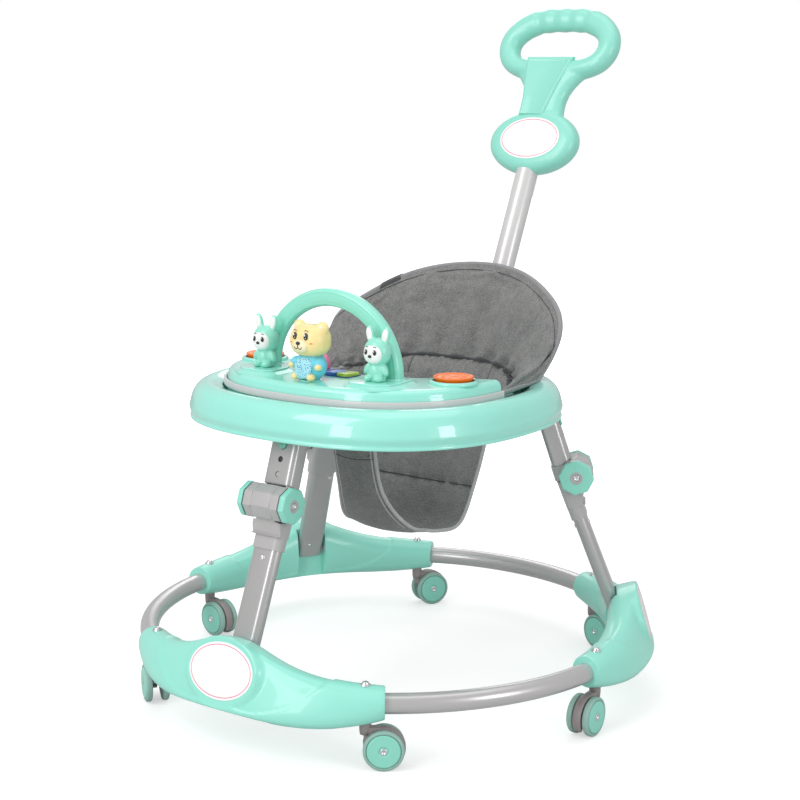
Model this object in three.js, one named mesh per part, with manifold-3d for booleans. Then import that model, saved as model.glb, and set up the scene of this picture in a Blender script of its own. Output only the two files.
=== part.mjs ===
// Round-base baby walker with three folding legs, twin-wheel swivel casters, a toy
// tray, a fabric seat and a rear push handle. Millimetres, +Z up, front towards -Y.
import * as THREE from 'three';
import { mergeVertices } from 'three/addons/utils/BufferGeometryUtils.js';
import Module from 'manifold-3d';

const wasm = await Module();
wasm.setup();

// ---------------------------------------------------------------- driving sizes
const GAP = 0.3; // running clearance between pieces that touch

// base ring
const RING_R = 325; // centreline radius of the base ring
const RING_TUBE_R = 12.5;
const RING_Z = 80; // height of the ring above the floor
const TRAY_BOTTOM = 370.5; // lower edge of the tray's rim
const LEG_AZIMUTHS = [270, 30, 150];
const LEG_NAMES = ['front', 'right', 'left'];

// lower leg and its pivot on the ring
const PIVOT_IN = 17.3; // base pivot inside the ring's centreline
const PIVOT_UP = 19; // and above it
const BASE_PIVOT = { r: RING_R - PIVOT_IN, z: RING_Z + PIVOT_UP };
const PIVOT_PIN_R = 4;
const LOWER_TILT = 21.8; // lean of the lower tube, degrees from vertical
const LOWER_W = 40;
const LOWER_D = 18;
const LOWER_END = 8; // tube length below its pivot
const LOWER_TOP_Z = RING_Z + 172; // where the lower tube stops inside its knuckle
const TUBE_WALL = 1.5;
const EAR_T = 3; // thickness of the welded pivot ears

// knee
const KNEE = { r: BASE_PIVOT.r - 59.3, z: BASE_PIVOT.z + 192.8 };
const KNEE_APOTHEM = 21; // octagonal barrel
const KNEE_BAND_HALF = 15; // half width of the centre band
const KNEE_EAR_OUT = 29.5; // outer face of the side bands
const KNEE_BOLT_R = 4;
const KNEE_SWEEP = 0.5; // running clearance round the barrel
const CAP_APOTHEM = KNEE_APOTHEM + 0.6; // release button, a cap over a boss on each ear
const CAP_PROUD = 7.5; // outer face beyond the boss
const CAP_BOSS_APOTHEM = 18.9;
const CAP_BOSS_H = 2.5;
const CAP_TRAVEL = 2;
const LOWER_SEAM_Z = KNEE.z - 58.8; // lower edge of the lower knuckle
const LOWER_COLLAR_W = LOWER_W + 4;
const LOWER_COLLAR_D = LOWER_D + 3.6;

// upper leg
const UPPER_TILT = 18.57;
const UPPER_IN = 14.993; // its centreline inside the knee
const UPPER_W = 44;
const UPPER_D = 26;
const UPPER_CORNER = 8;
const UPPER_SEAM_Z = KNEE.z + 14.2; // lower edge of the upper tube
const UPPER_TOP_Z = TRAY_BOTTOM - 1.5;
const UPPER_WALL = 1.8;
const PLUG_L = 18; // knuckle plug inside the upper tube
const HOLE_ZS = [TRAY_BOTTOM - 27.5, TRAY_BOTTOM - 45.5]; // height holes below the button
const BUTTON_Z = TRAY_BOTTOM - 10.5;
const HEIGHT_BUTTON_R = 5.5;
const HEIGHT_BUTTON_PROUD = 3;
const HEIGHT_BUTTON_PRESS = 1.5;

// tongue that slides in the upper tube and carries the tray
const TOP_PIVOT_Z = TRAY_BOTTOM + 9.5;
const TONGUE_W = 36;
const TONGUE_D = 12;
const TONGUE_OFF = 2.2; // gap to the outboard wall of the tube
const TONGUE_BOTTOM_Z = TRAY_BOTTOM - 24.5;
const TOP_PIN_R = 4;
const TONGUE_EYE_R = 10.5;
const CHEEK_T = 3; // tray cheeks beside each tongue
const CHEEK_PLAY = [0.6, 4.5, 4.5]; // side play of the pinned tongue and the two free ones

// casters
const CASTER_OFF = 31.2; // azimuth either side of each leg
const CASTER_HEADINGS = [[144, 36], [271, 343], [60, 350]];
const WHEEL_R = 25;
const WHEEL_W = 9.5;
const TWIN_HALF = 16.5; // outer face of each wheel from the middle
const TRAIL = 22;
const AXLE_R = 2.5;
const HOOD_R = 26.2;
const STEM_R = 4;
const NUT_H = 5; // cap nut above the shroud's sleeve
const NECK_R = 9;

// shroud
const SHROUD_HALF = 35.3; // half span, degrees
const COLLAR_R = 19.5;
const SHROUD_WALL = 3;
const SHROUD_SLOT_HALF = 22; // half width of the gap round the leg
const SLOT_OUT_R = BASE_PIVOT.r - 1.7; // outboard end of the slot at the top
const LABEL_A = 53;
const LABEL_B = 37;
const LABEL_TILT = 17.6;

// tray
const TRAY_A = 233.4;
const TRAY_B = 223.9;
const TRAY_CY = -32.4;
const TRAY_N = 2.45;
const TRAY_RIDGE = TRAY_BOTTOM + 46;
const TRAY_SHELF = TRAY_RIDGE - 5.1; // top of the rim where the trim band stands
const TRAY_DECK = TRAY_RIDGE - 18.5;
const TRAY_WALL = 2.2;
const RIM_IN = 40; // inset of the rim's inner edge
const OPENING_A = 150;
const OPENING_B = 118;
const OPENING_CY = 28;
const OPENING_LIP = 6;

// toy tray
const TRIM_A = 194.4;
const TRIM_B = 179.5;
const TRIM_T = 3.4;
const TRIM_H = 9.5;
const TRIM_END_Y = -25;
const TOY_TOP = TRAY_DECK + 36;
const TOY_WALL = 3;
const ARCH_R = 98;
const ARCH_Y = -127;
const ARCH_TUBE_X = 11.5;
const ARCH_TUBE_Y = 10;
const SEAT_H = 1.2; // seats under the arch feet and the bear
const PAD_H = 6; // raised pads under the arch feet and rabbits
const RABBIT_X = 90;
const RABBIT_Y = -148;
const BEAR_Y = -170;
const TOY_BUTTON_X = 153;
const TOY_BUTTON_Y = -78;
const TOY_BUTTON_R = 25.5;
const BEZEL_R = 31;
const BEZEL_H = 4;
const PRESS = 3;

// push handle
const PUSH_LEAN = 24.6;
const PUSH_R = 16;
const PUSH_O = { y: TRAY_B + 109.3, z: TRAY_DECK + 273.9 }; // point on the axis
const SOCKET_R = 20.5;
const SOCKET_FLOOR = 4;
const GRIP_T = 38;

// ---------------------------------------------------------------- helpers
const rad = THREE.MathUtils.degToRad;

// corner radius of a faceted bore that clears a round shaft all round
const clear = (radius, sides) => (radius + GAP) / Math.cos(Math.PI / sides);

function makeGeometry(positions, index) {
  const g = new THREE.BufferGeometry();
  g.setAttribute('position', new THREE.Float32BufferAttribute(positions, 3));
  g.setIndex(index);
  return g;
}

function toManifold(geometry) {
  let g = geometry.clone();
  g.deleteAttribute('normal');
  g.deleteAttribute('uv');
  g = mergeVertices(g, 1e-4);
  return new wasm.Manifold(new wasm.Mesh({
    numProp: 3,
    vertProperties: new Float32Array(g.attributes.position.array),
    triVerts: new Uint32Array(g.index.array),
  }));
}

function toGeometry(solid) {
  const m = solid.getMesh();
  return makeGeometry(Array.from(m.vertProperties), Array.from(m.triVerts));
}

function union(...geometries) {
  return toGeometry(geometries.map(toManifold).reduce((a, b) => a.add(b)));
}

function cut(base, ...tools) {
  return toGeometry(tools.map(toManifold).reduce((a, b) => a.subtract(b), toManifold(base)));
}

function keep(base, tool) {
  return toGeometry(toManifold(base).intersect(toManifold(tool)));
}

// block between two corners
function block(x0, x1, y0, y1, z0, z1) {
  return new THREE.BoxGeometry(x1 - x0, y1 - y0, z1 - z0)
    .translate((x0 + x1) / 2, (y0 + y1) / 2, (z0 + z1) / 2);
}

// rod along Y between y0 and y1, round or with flats
function rodY(r, y0, y1, x = 0, z = 0, sides = 20, turn = 0) {
  return new THREE.CylinderGeometry(r, r, y1 - y0, sides)
    .rotateY(turn)
    .translate(x, (y0 + y1) / 2, z);
}

// rod along Z between z0 and z1
function rodZ(r0, r1, z0, z1, x = 0, y = 0, sides = 20) {
  return new THREE.CylinderGeometry(r1, r0, z1 - z0, sides)
    .rotateX(Math.PI / 2)
    .translate(x, y, (z0 + z1) / 2);
}

function octagonY(apothem, y0, y1) {
  return rodY(apothem / Math.cos(Math.PI / 8), y0, y1, 0, 0, 8, Math.PI / 8);
}

function revolve(profile, sides) {
  return new THREE.LatheGeometry(profile.map(([r, z]) => new THREE.Vector2(r, z)), sides)
    .rotateX(Math.PI / 2);
}

function roundedRect(w, d, r, hole = null) {
  const s = new THREE.Shape();
  const x = w / 2;
  const y = d / 2;
  s.moveTo(-x + r, -y);
  s.lineTo(x - r, -y);
  s.absarc(x - r, -y + r, r, -Math.PI / 2, 0);
  s.lineTo(x, y - r);
  s.absarc(x - r, y - r, r, 0, Math.PI / 2);
  s.lineTo(-x + r, y);
  s.absarc(-x + r, y - r, r, Math.PI / 2, Math.PI);
  s.lineTo(-x, -y + r);
  s.absarc(-x + r, -y + r, r, Math.PI, 1.5 * Math.PI);
  if (hole) s.holes.push(hole);
  return s;
}

function prism(shape, z0, z1, segments = 3) {
  return new THREE.ExtrudeGeometry(shape, {
    depth: z1 - z0, bevelEnabled: false, curveSegments: segments,
  }).translate(0, 0, z0);
}

// rounded-rectangle tube, width along Y and depth along X, from z0 to z1
function flatTube(w, d, r, wall, z0, z1) {
  const hole = wall > 0 ? roundedRect(d - 2 * wall, w - 2 * wall, Math.max(r - wall, 0.5)) : null;
  return prism(roundedRect(d, w, r, hole), z0, z1);
}

// closed skin over rings of points; the rings close on themselves and the ends are capped
function loft(rings, closed = false) {
  const n = rings[0].length;
  const positions = rings.flat(2);
  const index = [];
  const count = closed ? rings.length : rings.length - 1;
  for (let i = 0; i < count; i += 1) {
    const a = i * n;
    const b = ((i + 1) % rings.length) * n;
    for (let j = 0; j < n; j += 1) {
      const k = (j + 1) % n;
      index.push(a + j, a + k, b + j, a + k, b + k, b + j);
    }
  }
  if (!closed) {
    const last = (rings.length - 1) * n;
    const mid = (ring) => [0, 1, 2].map((c) => ring.reduce((s, p) => s + p[c], 0) / n);
    positions.push(...mid(rings[0]), ...mid(rings[rings.length - 1]));
    const c0 = rings.length * n;
    for (let j = 0; j < n; j += 1) {
      const k = (j + 1) % n;
      index.push(c0, a0(k), a0(j), c0 + 1, last + j, last + k);
    }
  }
  return outward(makeGeometry(positions, index));
}

function a0(k) {
  return k;
}

// turns a closed skin so that its faces point out
function outward(g) {
  const p = g.attributes.position;
  const v = [0, 1, 2].map(() => new THREE.Vector3());
  let volume = 0;
  for (let i = 0; i < g.index.count; i += 3) {
    v.forEach((q, c) => q.fromBufferAttribute(p, g.index.getX(i + c)));
    volume += v[0].dot(v[1].clone().cross(v[2]));
  }
  if (volume < 0) {
    const flipped = Array.from(g.index.array);
    for (let i = 0; i < flipped.length; i += 3) {
      [flipped[i], flipped[i + 1]] = [flipped[i + 1], flipped[i]];
    }
    g.setIndex(flipped);
  }
  return g;
}

// sheet of even thickness over a surface point(u, v), u and v from 0 to 1
function sheet(point, thickness, nu, nv) {
  const at = (u, v) => new THREE.Vector3(...point(u, v));
  const e = 1e-3;
  const side = (offset) => {
    const grid = [];
    for (let i = 0; i <= nu; i += 1) {
      for (let j = 0; j <= nv; j += 1) {
        const u = i / nu;
        const v = j / nv;
        const du = at(Math.min(u + e, 1), v).sub(at(Math.max(u - e, 0), v));
        const dv = at(u, Math.min(v + e, 1)).sub(at(u, Math.max(v - e, 0)));
        const n = du.cross(dv).normalize();
        grid.push(at(u, v).addScaledVector(n, offset).toArray());
      }
    }
    return grid;
  };
  const front = side(thickness / 2);
  const back = side(-thickness / 2);
  const m = nv + 1;
  const half = front.length;
  const index = [];
  for (let i = 0; i < nu; i += 1) {
    for (let j = 0; j < nv; j += 1) {
      const q = [i * m + j, (i + 1) * m + j, (i + 1) * m + j + 1, i * m + j + 1];
      index.push(q[0], q[1], q[2], q[0], q[2], q[3]);
      index.push(half + q[0], half + q[2], half + q[1], half + q[0], half + q[3], half + q[2]);
    }
  }
  const wall = (a, b) => index.push(a, half + a, b, b, half + a, half + b);
  for (let j = 0; j < nv; j += 1) {
    wall(j + 1, j);
    wall(nu * m + j, nu * m + j + 1);
  }
  for (let i = 0; i < nu; i += 1) {
    wall(i * m, (i + 1) * m);
    wall((i + 1) * m + nv, i * m + nv);
  }
  return outward(makeGeometry([...front, ...back].flat(), index));
}

// point of a superellipse about (0, cy)
function oval(a, b, n, cy, angle) {
  const c = Math.cos(angle);
  const s = Math.sin(angle);
  return [
    a * Math.sign(c) * Math.abs(c) ** (2 / n),
    cy + b * Math.sign(s) * Math.abs(s) ** (2 / n),
  ];
}

function ovalShape(a, b, n, cy, sides = 48) {
  const s = new THREE.Shape();
  for (let i = 0; i < sides; i += 1) {
    const [x, y] = oval(a, b, n, cy, (i / sides) * 2 * Math.PI);
    if (i === 0) s.moveTo(x, y);
    else s.lineTo(x, y);
  }
  return s;
}

const walker = new THREE.Group();

function add(parent, name, geometry, colour, roughness = 0.5, metalness = 0) {
  const material = new THREE.MeshStandardMaterial({ color: colour, roughness, metalness });
  const mesh = new THREE.Mesh(geometry, material);
  mesh.name = name;
  parent.add(mesh);
  return mesh;
}

const MINT = 0x8fdcc8;
const GREY = 0xb0b0b0;
const HOOD_GREY = 0x8c8482;
const CLOTH = 0x77777a;
const ORANGE = 0xf06e28;
const CREAM = 0xfae08c;
const WHITE = 0xe6e6e6;
const STEEL = 0xc8c8cc;

// one frame per leg: X runs outwards, Y along the ring and Z up
const stations = LEG_AZIMUTHS.map((azimuth) => {
  const g = new THREE.Group();
  g.rotation.z = rad(azimuth);
  walker.add(g);
  return g;
});

// ---------------------------------------------------------------- base ring
const EYE_R = PIVOT_PIN_R + 5;
const EAR_IN = LOWER_W / 2 + 1;

function pivotEar(side) {
  const dx = BASE_PIVOT.r - RING_R;
  const dz = BASE_PIVOT.z - RING_Z;
  const length = Math.hypot(dx, dz);
  const s = new THREE.Shape();
  s.moveTo(0, -EYE_R);
  s.lineTo(length, -EYE_R);
  s.absarc(length, 0, EYE_R, -Math.PI / 2, Math.PI / 2);
  s.lineTo(0, EYE_R);
  const bore = new THREE.Path();
  bore.absarc(length, 0, clear(PIVOT_PIN_R, 8), 0, 2 * Math.PI);
  s.holes.push(bore);
  const from = side > 0 ? EAR_IN : -EAR_IN - EAR_T;
  return prism(s, 0, EAR_T, 4)
    .rotateX(Math.PI / 2)
    .rotateY(-Math.atan2(dz, dx))
    .translate(RING_R, from + EAR_T, RING_Z);
}

function stemAzimuths(leg) {
  return [-CASTER_OFF, CASTER_OFF].map((off) => LEG_AZIMUTHS[leg] + off);
}

function baseRing() {
  let solid = toManifold(new THREE.TorusGeometry(RING_R, RING_TUBE_R, 10, 48)
    .translate(0, 0, RING_Z));
  LEG_AZIMUTHS.forEach((azimuth, leg) => {
    [-1, 1].forEach((side) => {
      solid = solid.add(toManifold(pivotEar(side).rotateZ(rad(azimuth))));
    });
    stemAzimuths(leg).forEach((a) => {
      const bore = rodZ(clear(STEM_R, 6), clear(STEM_R, 6), RING_Z - 20, RING_Z + 20, RING_R, 0, 6)
        .rotateZ(rad(a));
      solid = solid.subtract(toManifold(bore));
    });
  });
  return toGeometry(solid);
}
add(walker, 'base_ring', baseRing(), GREY, 0.35, 0.6);

// ---------------------------------------------------------------- shrouds
// Section of the shroud at an azimuth off the leg, in the plane of radius and height.
// It grows from a round sleeve on the ring into the tall body that carries the label.
function shroudSection(off, inset) {
  const f = Math.min(Math.abs(off) / SHROUD_HALF, 1);
  const bell = (x) => 1 / (1 + (x * SHROUD_HALF / 13.5) ** 2.2);
  const top = (bell(f) - bell(1)) / (1 - bell(1));
  const out = 1 - f ** 2;
  const low = 1 - f ** 4;
  const into = 1 - f ** 1.5;
  const ring = (deg) => [
    RING_R + COLLAR_R * Math.cos(rad(deg)),
    RING_Z + 1 + COLLAR_R * Math.sin(rad(deg)),
  ];
  const key = (deg, r, z, wr, wz) => {
    const c = ring(deg);
    return new THREE.Vector2(c[0] + (r - c[0]) * wr, c[1] + (z - c[1]) * wz);
  };
  const rise = 8 * Math.exp(-((off / 12) ** 2));
  const corners = [
    key(95, 320, RING_Z + 59, out, top),
    key(55, 333, RING_Z + 54, out, top),
    key(20, 346, RING_Z + 16, out, top),
    key(-15, 357.5, RING_Z - 16, out, low),
    key(-50, 352, RING_Z - 29 + rise, out, low),
    key(-90, 325, RING_Z - 30 + rise, into, low),
    key(-135, 301, RING_Z - 20, into, low),
    key(180, 293, RING_Z + 8, into, top),
    key(140, 299, RING_Z + 48, into, top),
  ];
  const curve = new THREE.SplineCurve([...corners, corners[0]]);
  curve.points = [...corners];
  const n = corners.length;
  const points = [];
  const steps = 2;
  for (let i = 0; i < n; i += 1) {
    const [p, q, r, s] = [n - 1, 0, 1, 2].map((k) => corners[(i + k) % n]);
    for (let j = 0; j < steps; j += 1) {
      const t = j / steps;
      const mix = (a, b, c, d) => 0.5 * (2 * b + (c - a) * t
        + (2 * a - 5 * b + 4 * c - d) * t * t + (3 * b - a - 3 * c + d) * t * t * t);
      points.push([mix(p.x, q.x, r.x, s.x), mix(p.y, q.y, r.y, s.y)]);
    }
  }
  // move every point inwards along its normal
  return points.map((p, i) => {
    const a = points[(i + points.length - 1) % points.length];
    const b = points[(i + 1) % points.length];
    const d = Math.hypot(b[0] - a[0], b[1] - a[1]);
    return [p[0] - ((a[1] - b[1]) / d) * inset, p[1] - ((b[0] - a[0]) / d) * inset];
  });
}

function shroudLoft(inset, from, to, steps) {
  const rings = [];
  for (let i = 0; i <= steps; i += 1) {
    const off = from + ((to - from) * i) / steps;
    const a = rad(off);
    rings.push(shroudSection(off, inset)
      .map(([r, z]) => [r * Math.cos(a), r * Math.sin(a), z]));
  }
  return loft(rings);
}

function ringSleeve(radius, half) {
  const curve = new THREE.EllipseCurve(0, 0, RING_R, RING_R, -rad(half), rad(half));
  const rings = [];
  for (let i = 0; i <= 10; i += 1) {
    const p = curve.getPoint(i / 10);
    const a = Math.atan2(p.y, p.x);
    const ring = [];
    for (let j = 0; j < 8; j += 1) {
      const b = (j / 8) * 2 * Math.PI;
      const r = RING_R + radius * Math.cos(b);
      ring.push([r * Math.cos(a), r * Math.sin(a), RING_Z + radius * Math.sin(b)]);
    }
    rings.push(ring);
  }
  return loft(rings);
}

const RING_CLEAR = (RING_TUBE_R + GAP) / Math.cos(Math.PI / 8) + 0.8;

function shroud() {
  let solid = toManifold(shroudLoft(0, -SHROUD_HALF, SHROUD_HALF, 14));
  // raised oval boss for the label
  const boss = new THREE.CylinderGeometry(1, 1, 14, 24)
    .rotateX(Math.PI / 2)
    .scale(LABEL_B, LABEL_A, 1)
    .translate(0, 0, -7 + 0.6)
    .rotateY(rad(90 - LABEL_TILT))
    .translate(343.6, 0, RING_Z + 22);
  solid = solid.add(toManifold(boss));
  let cavity = toManifold(shroudLoft(SHROUD_WALL, -SHROUD_HALF - 1, SHROUD_HALF + 1, 8));
  // solid lands round the caster stems seat the shroud on the ring
  [-CASTER_OFF, CASTER_OFF].forEach((off) => {
    const land = rodZ(8, 8, RING_Z, RING_Z + 30, RING_R, 0, 8).rotateZ(rad(off));
    cavity = cavity.subtract(toManifold(land));
  });
  solid = solid.subtract(cavity);
  solid = solid.subtract(toManifold(ringSleeve(RING_CLEAR, SHROUD_HALF + 2)));
  [-CASTER_OFF, CASTER_OFF].forEach((off) => {
    const bore = rodZ(clear(STEM_R, 6), clear(STEM_R, 6), RING_Z - 40, RING_Z + 40, RING_R, 0, 6)
      .rotateZ(rad(off));
    const neck = rodZ(clear(NECK_R, 10), clear(NECK_R, 10), 40, RING_Z - RING_TUBE_R - 1, RING_R, 0, 10)
      .rotateZ(rad(off));
    solid = solid.subtract(toManifold(bore)).subtract(toManifold(neck));
  });
  // slot for the leg: open inwards and upwards
  solid = solid.subtract(toManifold(
    block(250, SLOT_OUT_R, -SHROUD_SLOT_HALF, SHROUD_SLOT_HALF, RING_Z - 45, RING_Z + 90),
  ));
  return toGeometry(solid);
}
const shroudGeometry = shroud();
stations.forEach((station, leg) => {
  add(station, `shroud_${LEG_NAMES[leg]}`, shroudGeometry.clone(), MINT, 0.3);
});

// ---------------------------------------------------------------- casters
const SLEEVE_TOP = RING_Z + 1 + COLLAR_R + 1.2;

function casterHousing() {
  const hoodHalf = TWIN_HALF - WHEEL_W - GAP;
  const s = new THREE.Shape();
  s.absarc(0, 0, HOOD_R, rad(-40), rad(200));
  s.lineTo(-HOOD_R * 0.45, -HOOD_R * 0.5);
  s.lineTo(HOOD_R * 0.4, -HOOD_R * 0.55);
  const fin = prism(s, -hoodHalf, hoodHalf, 9)
    .rotateX(Math.PI / 2)
    .translate(TRAIL, 0, WHEEL_R);
  const wheelTop = 2 * WHEEL_R + 0.8;
  const arm = block(-NECK_R * 0.8, TRAIL, -hoodHalf, hoodHalf, WHEEL_R + 8, wheelTop + 1);
  const neck = rodZ(NECK_R, NECK_R * 0.8, wheelTop, RING_Z - RING_TUBE_R - GAP, 0, 0, 10);
  const nutSeat = SLEEVE_TOP + GAP;
  const stem = rodZ(STEM_R, STEM_R, WHEEL_R + 20, nutSeat + 1, 0, 0, 8);
  const nut = rodZ(6, 2.2, nutSeat, nutSeat + NUT_H, 0, 0, 8);
  const bore = rodY(clear(AXLE_R, 8), -TWIN_HALF, TWIN_HALF, TRAIL, WHEEL_R, 8);
  return cut(union(fin, arm, neck, stem, nut), bore);
}

function wheelset() {
  const inner = TWIN_HALF - WHEEL_W;
  const wheel = (side) => {
    const profile = [
      [0, side * inner], [WHEEL_R, side * inner], [WHEEL_R, side * (TWIN_HALF - 2)], [WHEEL_R - 2.5, side * TWIN_HALF],
      [0, side * TWIN_HALF],
    ];
    return outward(revolve(profile, 18)).rotateX(Math.PI / 2);
  };
  const axle = rodY(AXLE_R, -TWIN_HALF + 2, TWIN_HALF - 2, 0, 0, 8);
  return union(outward(wheel(-1)), outward(wheel(1)), axle);
}
const housingGeometry = casterHousing();
const wheelGeometry = wheelset();
LEG_NAMES.forEach((name, leg) => {
  stemAzimuths(leg).forEach((azimuth, i) => {
    const swivel = new THREE.Group();
    swivel.position.set(RING_R * Math.cos(rad(azimuth)), RING_R * Math.sin(rad(azimuth)), 0);
    swivel.rotation.z = rad(CASTER_HEADINGS[leg][i]);
    walker.add(swivel);
    const tag = `${name}_${i + 1}`;
    add(swivel, `caster_fork_${tag}`, housingGeometry.clone(), HOOD_GREY, 0.5);
    add(swivel, `caster_wheels_${tag}`, wheelGeometry.clone(), MINT, 0.4)
      .position.set(TRAIL, 0, WHEEL_R);
  });
});

// ---------------------------------------------------------------- legs
// lower leg frame: origin at the base pivot, Z up along the tube, X outboard
const lowerCos = Math.cos(rad(LOWER_TILT));
const lowerAlong = (z) => (z - BASE_PIVOT.z) / lowerCos;
const kneeFromBase = { r: KNEE.r - BASE_PIVOT.r, z: KNEE.z - BASE_PIVOT.z };
const kneeLower = {
  x: kneeFromBase.r * lowerCos + kneeFromBase.z * Math.sin(rad(LOWER_TILT)),
  z: -kneeFromBase.r * Math.sin(rad(LOWER_TILT)) + kneeFromBase.z * lowerCos,
};
// upper leg frame: origin on the upper centreline beside the knee, Z up along the tube
const upperCos = Math.cos(rad(UPPER_TILT));
const upperR = (z) => KNEE.r - UPPER_IN - (z - KNEE.z) * Math.tan(rad(UPPER_TILT));
const upperAlong = (z) => (z - KNEE.z) / upperCos;
const kneeUpper = {
  x: (KNEE.r - upperR(KNEE.z)) * upperCos,
  z: -(KNEE.r - upperR(KNEE.z)) * Math.sin(rad(UPPER_TILT)),
};
const SWEEP_R = (KNEE_APOTHEM / Math.cos(Math.PI / 8) + KNEE_SWEEP) / Math.cos(Math.PI / 16);

function lowerTube() {
  const tube = flatTube(LOWER_W, LOWER_D, LOWER_D / 2 - 0.01, TUBE_WALL,
    -LOWER_END, lowerAlong(LOWER_TOP_Z));
  return cut(tube, rodY(clear(PIVOT_PIN_R, 8), -60, 60, 0, 0, 8));
}

function lowerKnuckle() {
  const seam = lowerAlong(LOWER_SEAM_Z);
  const top = kneeLower.z - GAP;
  const reach = kneeLower.x + 4;
  const body = prism(roundedRect(reach + LOWER_COLLAR_D / 2, LOWER_COLLAR_W, 7), top - 40, top, 2)
    .translate((reach - LOWER_COLLAR_D / 2) / 2, 0, 0);
  const collar = flatTube(LOWER_COLLAR_W, LOWER_COLLAR_D, 10, 0, seam, top - 10);
  const barrel = octagonY(KNEE_APOTHEM, -KNEE_BAND_HALF, KNEE_BAND_HALF)
    .translate(kneeLower.x, 0, kneeLower.z);
  const slope = block(0, 60, -60, 60, -80, 0)
    .rotateY(rad(-62))
    .translate(LOWER_COLLAR_D / 2, 0, top - 38);
  let solid = toManifold(union(collar, cut(body, slope), barrel));
  [-1, 1].forEach((side) => {
    const y0 = side > 0 ? KNEE_BAND_HALF : -KNEE_EAR_OUT - 5;
    const y1 = side > 0 ? KNEE_EAR_OUT + 5 : -KNEE_BAND_HALF;
    const sweep = rodY(SWEEP_R, y0, y1, kneeLower.x, kneeLower.z, 16);
    solid = solid.subtract(toManifold(sweep));
  });
  const socket = flatTube(LOWER_W + 2 * GAP, LOWER_D + 2 * GAP, LOWER_D / 2 + GAP - 0.01, 0,
    seam - 5, lowerAlong(LOWER_TOP_Z) + GAP);
  const bore = rodY(clear(KNEE_BOLT_R, 8), -60, 60, kneeLower.x, kneeLower.z, 8);
  return toGeometry(solid.subtract(toManifold(socket)).subtract(toManifold(bore)));
}

function upperKnuckle() {
  const seam = upperAlong(UPPER_SEAM_Z);
  const base = kneeUpper.z + GAP;
  const reach = kneeUpper.x + 2;
  const inboard = UPPER_D / 2 + 1.5;
  const body = prism(roundedRect(reach + inboard, UPPER_W + 3, 7), base, seam, 2)
    .translate((reach - inboard) / 2, 0, 0);
  const plug = flatTube(UPPER_W - 2 * UPPER_WALL - 2 * GAP, UPPER_D - 2 * UPPER_WALL - 2 * GAP,
    UPPER_CORNER - UPPER_WALL, 2.5, seam - 1, seam + PLUG_L);
  const shoulder = KNEE_EAR_OUT - CAP_BOSS_H;
  const ears = union(
    octagonY(KNEE_APOTHEM, -shoulder, shoulder),
    octagonY(CAP_BOSS_APOTHEM, -KNEE_EAR_OUT, KNEE_EAR_OUT),
  ).translate(kneeUpper.x, 0, kneeUpper.z);
  const sweep = rodY(SWEEP_R, -KNEE_BAND_HALF - GAP, KNEE_BAND_HALF + GAP,
    kneeUpper.x, kneeUpper.z, 16);
  const solid = toManifold(union(body, ears, plug)).subtract(toManifold(sweep));
  const bore = rodY(clear(KNEE_BOLT_R, 8), -60, 60, kneeUpper.x, kneeUpper.z, 8);
  return toGeometry(solid.subtract(toManifold(bore)));
}

function upperTube() {
  const tube = flatTube(UPPER_W, UPPER_D, UPPER_CORNER, UPPER_WALL,
    upperAlong(UPPER_SEAM_Z) + GAP, upperAlong(UPPER_TOP_Z));
  const drills = [...HOLE_ZS.map((z) => [z, 4]), [BUTTON_Z, clear(HEIGHT_BUTTON_R, 10)]]
    .map(([z, r]) => new THREE.CylinderGeometry(r, r, 12, 10)
      .rotateZ(Math.PI / 2)
      .translate(UPPER_D / 2, 0, faceAlong(z)));
  const barrel = rodY(SWEEP_R, -60, 60, kneeUpper.x, kneeUpper.z, 16);
  return cut(tube, barrel, ...drills);
}

// distance along the upper leg of the outboard face at a height above the floor
function faceAlong(z) {
  return upperAlong(z) - (UPPER_D / 2) * Math.tan(rad(UPPER_TILT));
}

function heightButton() {
  const inner = UPPER_D / 2 - UPPER_WALL;
  const profile = [
    [0, inner], [HEIGHT_BUTTON_R, inner], [HEIGHT_BUTTON_R, UPPER_D / 2 + 1.5],
    [HEIGHT_BUTTON_R - 1.5, UPPER_D / 2 + HEIGHT_BUTTON_PROUD],
    [0, UPPER_D / 2 + HEIGHT_BUTTON_PROUD],
  ];
  return outward(revolve(profile, 10).rotateY(Math.PI / 2).translate(0, 0, faceAlong(BUTTON_Z)));
}

function releaseCap(side) {
  const y0 = KNEE_EAR_OUT - CAP_BOSS_H + CAP_TRAVEL + GAP;
  const y1 = KNEE_EAR_OUT + CAP_PROUD;
  const inside = octagonY(CAP_BOSS_APOTHEM + GAP, y0 - 1, KNEE_EAR_OUT + CAP_TRAVEL + GAP);
  const cap = union(
    octagonY(CAP_APOTHEM, y0, y1 - 1.5),
    new THREE.CylinderGeometry(
      (CAP_APOTHEM - 1.5) / Math.cos(Math.PI / 8), CAP_APOTHEM / Math.cos(Math.PI / 8), 1.5, 8,
    ).rotateY(Math.PI / 8).translate(0, y1 - 0.75, 0),
  );
  const bored = cut(cap, inside, rodY(clear(KNEE_BOLT_R, 8), 0, 60, 0, 0, 8));
  return side > 0 ? bored : bored.rotateX(Math.PI);
}

function kneeBolt() {
  const end = KNEE_EAR_OUT + CAP_PROUD - 0.5;
  return rodY(KNEE_BOLT_R, -end, end, 0, 0, 8);
}

// tongue in the upper tube; the eye sits round the tray's pin
const topPivot = { r: upperR(TOP_PIVOT_Z), z: TOP_PIVOT_Z };
const tongueX = UPPER_D / 2 - UPPER_WALL - TONGUE_OFF - TONGUE_D / 2;

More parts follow.
